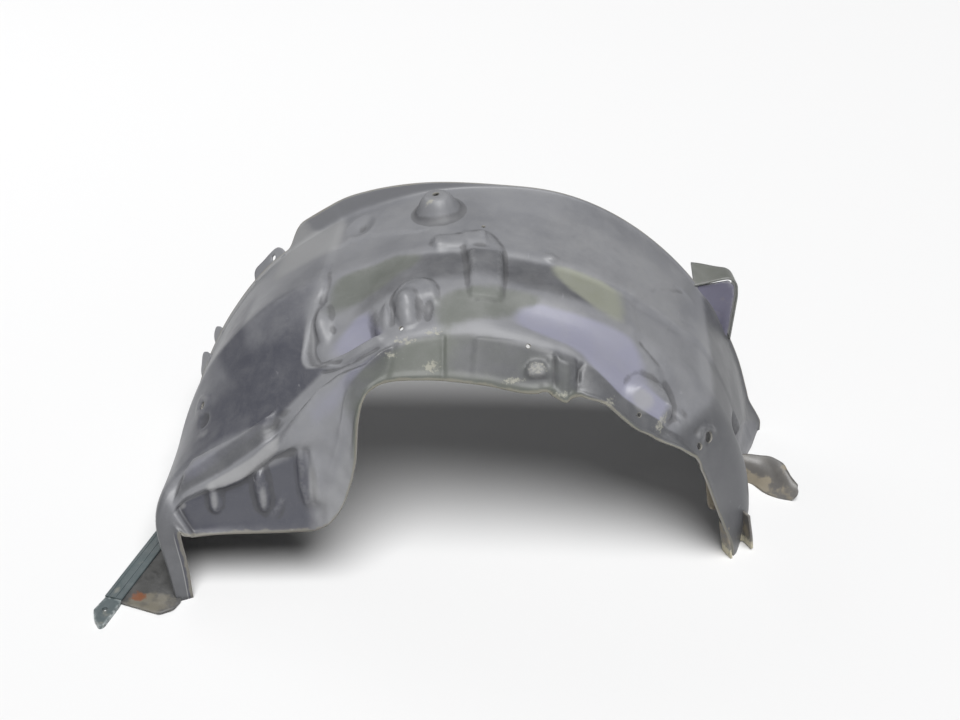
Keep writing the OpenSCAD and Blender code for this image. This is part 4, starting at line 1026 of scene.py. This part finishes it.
# the inner face is the moulding's plastic made far darker as painted shade under the arch, with brown patches
backShadeLook = dict(mouldingLook, base=(0.05, 0.05, 0.055), other=(0.075, 0.074, 0.075), dust=0.3, layers=[
    ("rim", 55.0, 0.9, 0.5, (0.3, 0.27, 0.2), 0.3), ((5.0, 6.0, 0.45, 0.7), 40.0, 0.8, 0.5, (0.14, 0.12, 0.09), 0.3)])
tabLook = dict(mouldingLook, layers=[((14.0, 6.0, 0.5, 0.75), 70.0, 0.8, 0.6, (0.34, 0.32, 0.26), 0.25)])
bracketLook = dict(tabLook, base=(0.12, 0.128, 0.117), other=(0.16, 0.165, 0.15), wear=0.3, scuff=0.9)
# the web's lavender base is a painted reflection
webSheenLook = dict(tabLook, base=(0.1, 0.097, 0.14), other=(0.17, 0.165, 0.225), wear=0.8, scuff=0.9)
footLook = dict(tabLook, base=(0.045, 0.045, 0.045), other=(0.075, 0.075, 0.072), layers=[
    ("mud", 60.0, 0.9, 0.9, (0.17, 0.155, 0.12), 0.4), ("rust", 90.0, 1.0, 0.95, (0.19, 0.07, 0.03), 0.4)])
muddyLook = dict(tabLook, base=(0.11, 0.105, 0.1), other=(0.17, 0.16, 0.145), layers=[
    ((12.0, 6.0, 0.42, 0.62), 80.0, 0.9, 0.8, (0.3, 0.26, 0.19), 0.4),
    ("mud", 300.0, 1.0, 0.95, (0.55, 0.51, 0.38), 0.4)])
tongueLook = dict(muddyLook, base=(0.05, 0.035, 0.028), other=(0.08, 0.055, 0.04), dust=0.15)
railLook = dict(tabLook, base=(0.065, 0.085, 0.09), other=(0.11, 0.135, 0.14), wear=0.9, wearColour=(0.42, 0.46, 0.46),
                layers=[((15.0, 6.0, 0.5, 0.7), 70.0, 0.9, 0.6, (0.3, 0.29, 0.24), 0.3)])

print("dressing the pieces")
dress = {"liner.skin": ("mouldingPlastic", mouldingLook), "liner.back": ("backPlastic", backShadeLook),
         "liner.ear": ("tabPlastic", tabLook), "liner.bracket": ("bracketPlastic", bracketLook),
         "liner.web": ("webPlastic", webSheenLook), "liner.foot": ("footPlastic", footLook),
         "liner.channel": ("muddyPlastic", muddyLook), "liner.flap": ("muddyPlastic", muddyLook),
         "liner.tongue": ("tonguePlastic", tongueLook), "rail": ("railPlastic", railLook)}
made = {}
for piece in pieces:
    name, look = next(v for k, v in dress.items() if piece.name.startswith(k))
    made[name] = made.get(name) or makeMaterial(name, look)
    piece.data.materials.append(made[name])

print("building the stage")
studio = {"floor": (0.82, 0.82, 0.82, 1), "floorRough": 0.9, "sky": (0.95, 0.96, 1, 1), "skyStrength": 0.055}
floorMesh = bpy.data.meshes.new("floor")
floorMesh.from_pydata([(-6, -6, 0), (6, -6, 0), (6, 9, 0), (-6, 9, 0)], [], [(0, 1, 2, 3)])
floor = bpy.data.objects.new("floor", floorMesh)
bpy.context.collection.objects.link(floor)
paleFloor = bpy.data.materials.new("paleFloor")
paleFloor.use_nodes = True
shader = paleFloor.node_tree.nodes["Principled BSDF"]
shader.inputs["Base Color"].default_value = studio["floor"]
shader.inputs["Roughness"].default_value = studio["floorRough"]
floorMesh.materials.append(paleFloor)

world = bpy.data.worlds.new("studio")
bpy.context.scene.world = world
world.use_nodes = True
world.node_tree.nodes["Background"].inputs["Color"].default_value = studio["sky"]
world.node_tree.nodes["Background"].inputs["Strength"].default_value = studio["skyStrength"]
bpy.context.scene.view_settings.view_transform = "Standard"


def lamp(name, kind, spot, target, power, **settings):
    data = bpy.data.lights.new(name, kind)
    data.energy = power
    for key, value in settings.items():
        setattr(data, key, value)
    light = bpy.data.objects.new(name, data)
    light.location = spot
    light.rotation_euler = (Vector(target) - Vector(spot)).to_track_quat("-Z", "Y").to_euler()
    bpy.context.collection.objects.link(light)


# a wide overhead light, tilted a little to the camera, and a weak one behind on the left
lamp("overhead", "SUN", (0.25, -1.2, 2.5), (0, 0, 0), 3.8, angle=math.radians(38))
lamp("left", "AREA", (-1.6, 1.8, 2.2), (0, 0, 0.2), 7, shape="SQUARE", size=1.4)

view = {"target": (11, 0, 230), "elevation": 33, "distance": 2200, "lens": 57.75}
target = Vector(toScene([view["target"]])[0])
up = math.radians(view["elevation"])
camera = bpy.data.objects.new("camera", bpy.data.cameras.new("camera"))
camera.data.lens, camera.data.sensor_width = view["lens"], 36
camera.location = target + view["distance"] / 1000 * Vector((0, -math.cos(up), math.sin(up)))
camera.rotation_euler = (math.pi / 2 - up, 0, 0)
camera.data.clip_end = 60
bpy.context.collection.objects.link(camera)
bpy.context.scene.camera = camera
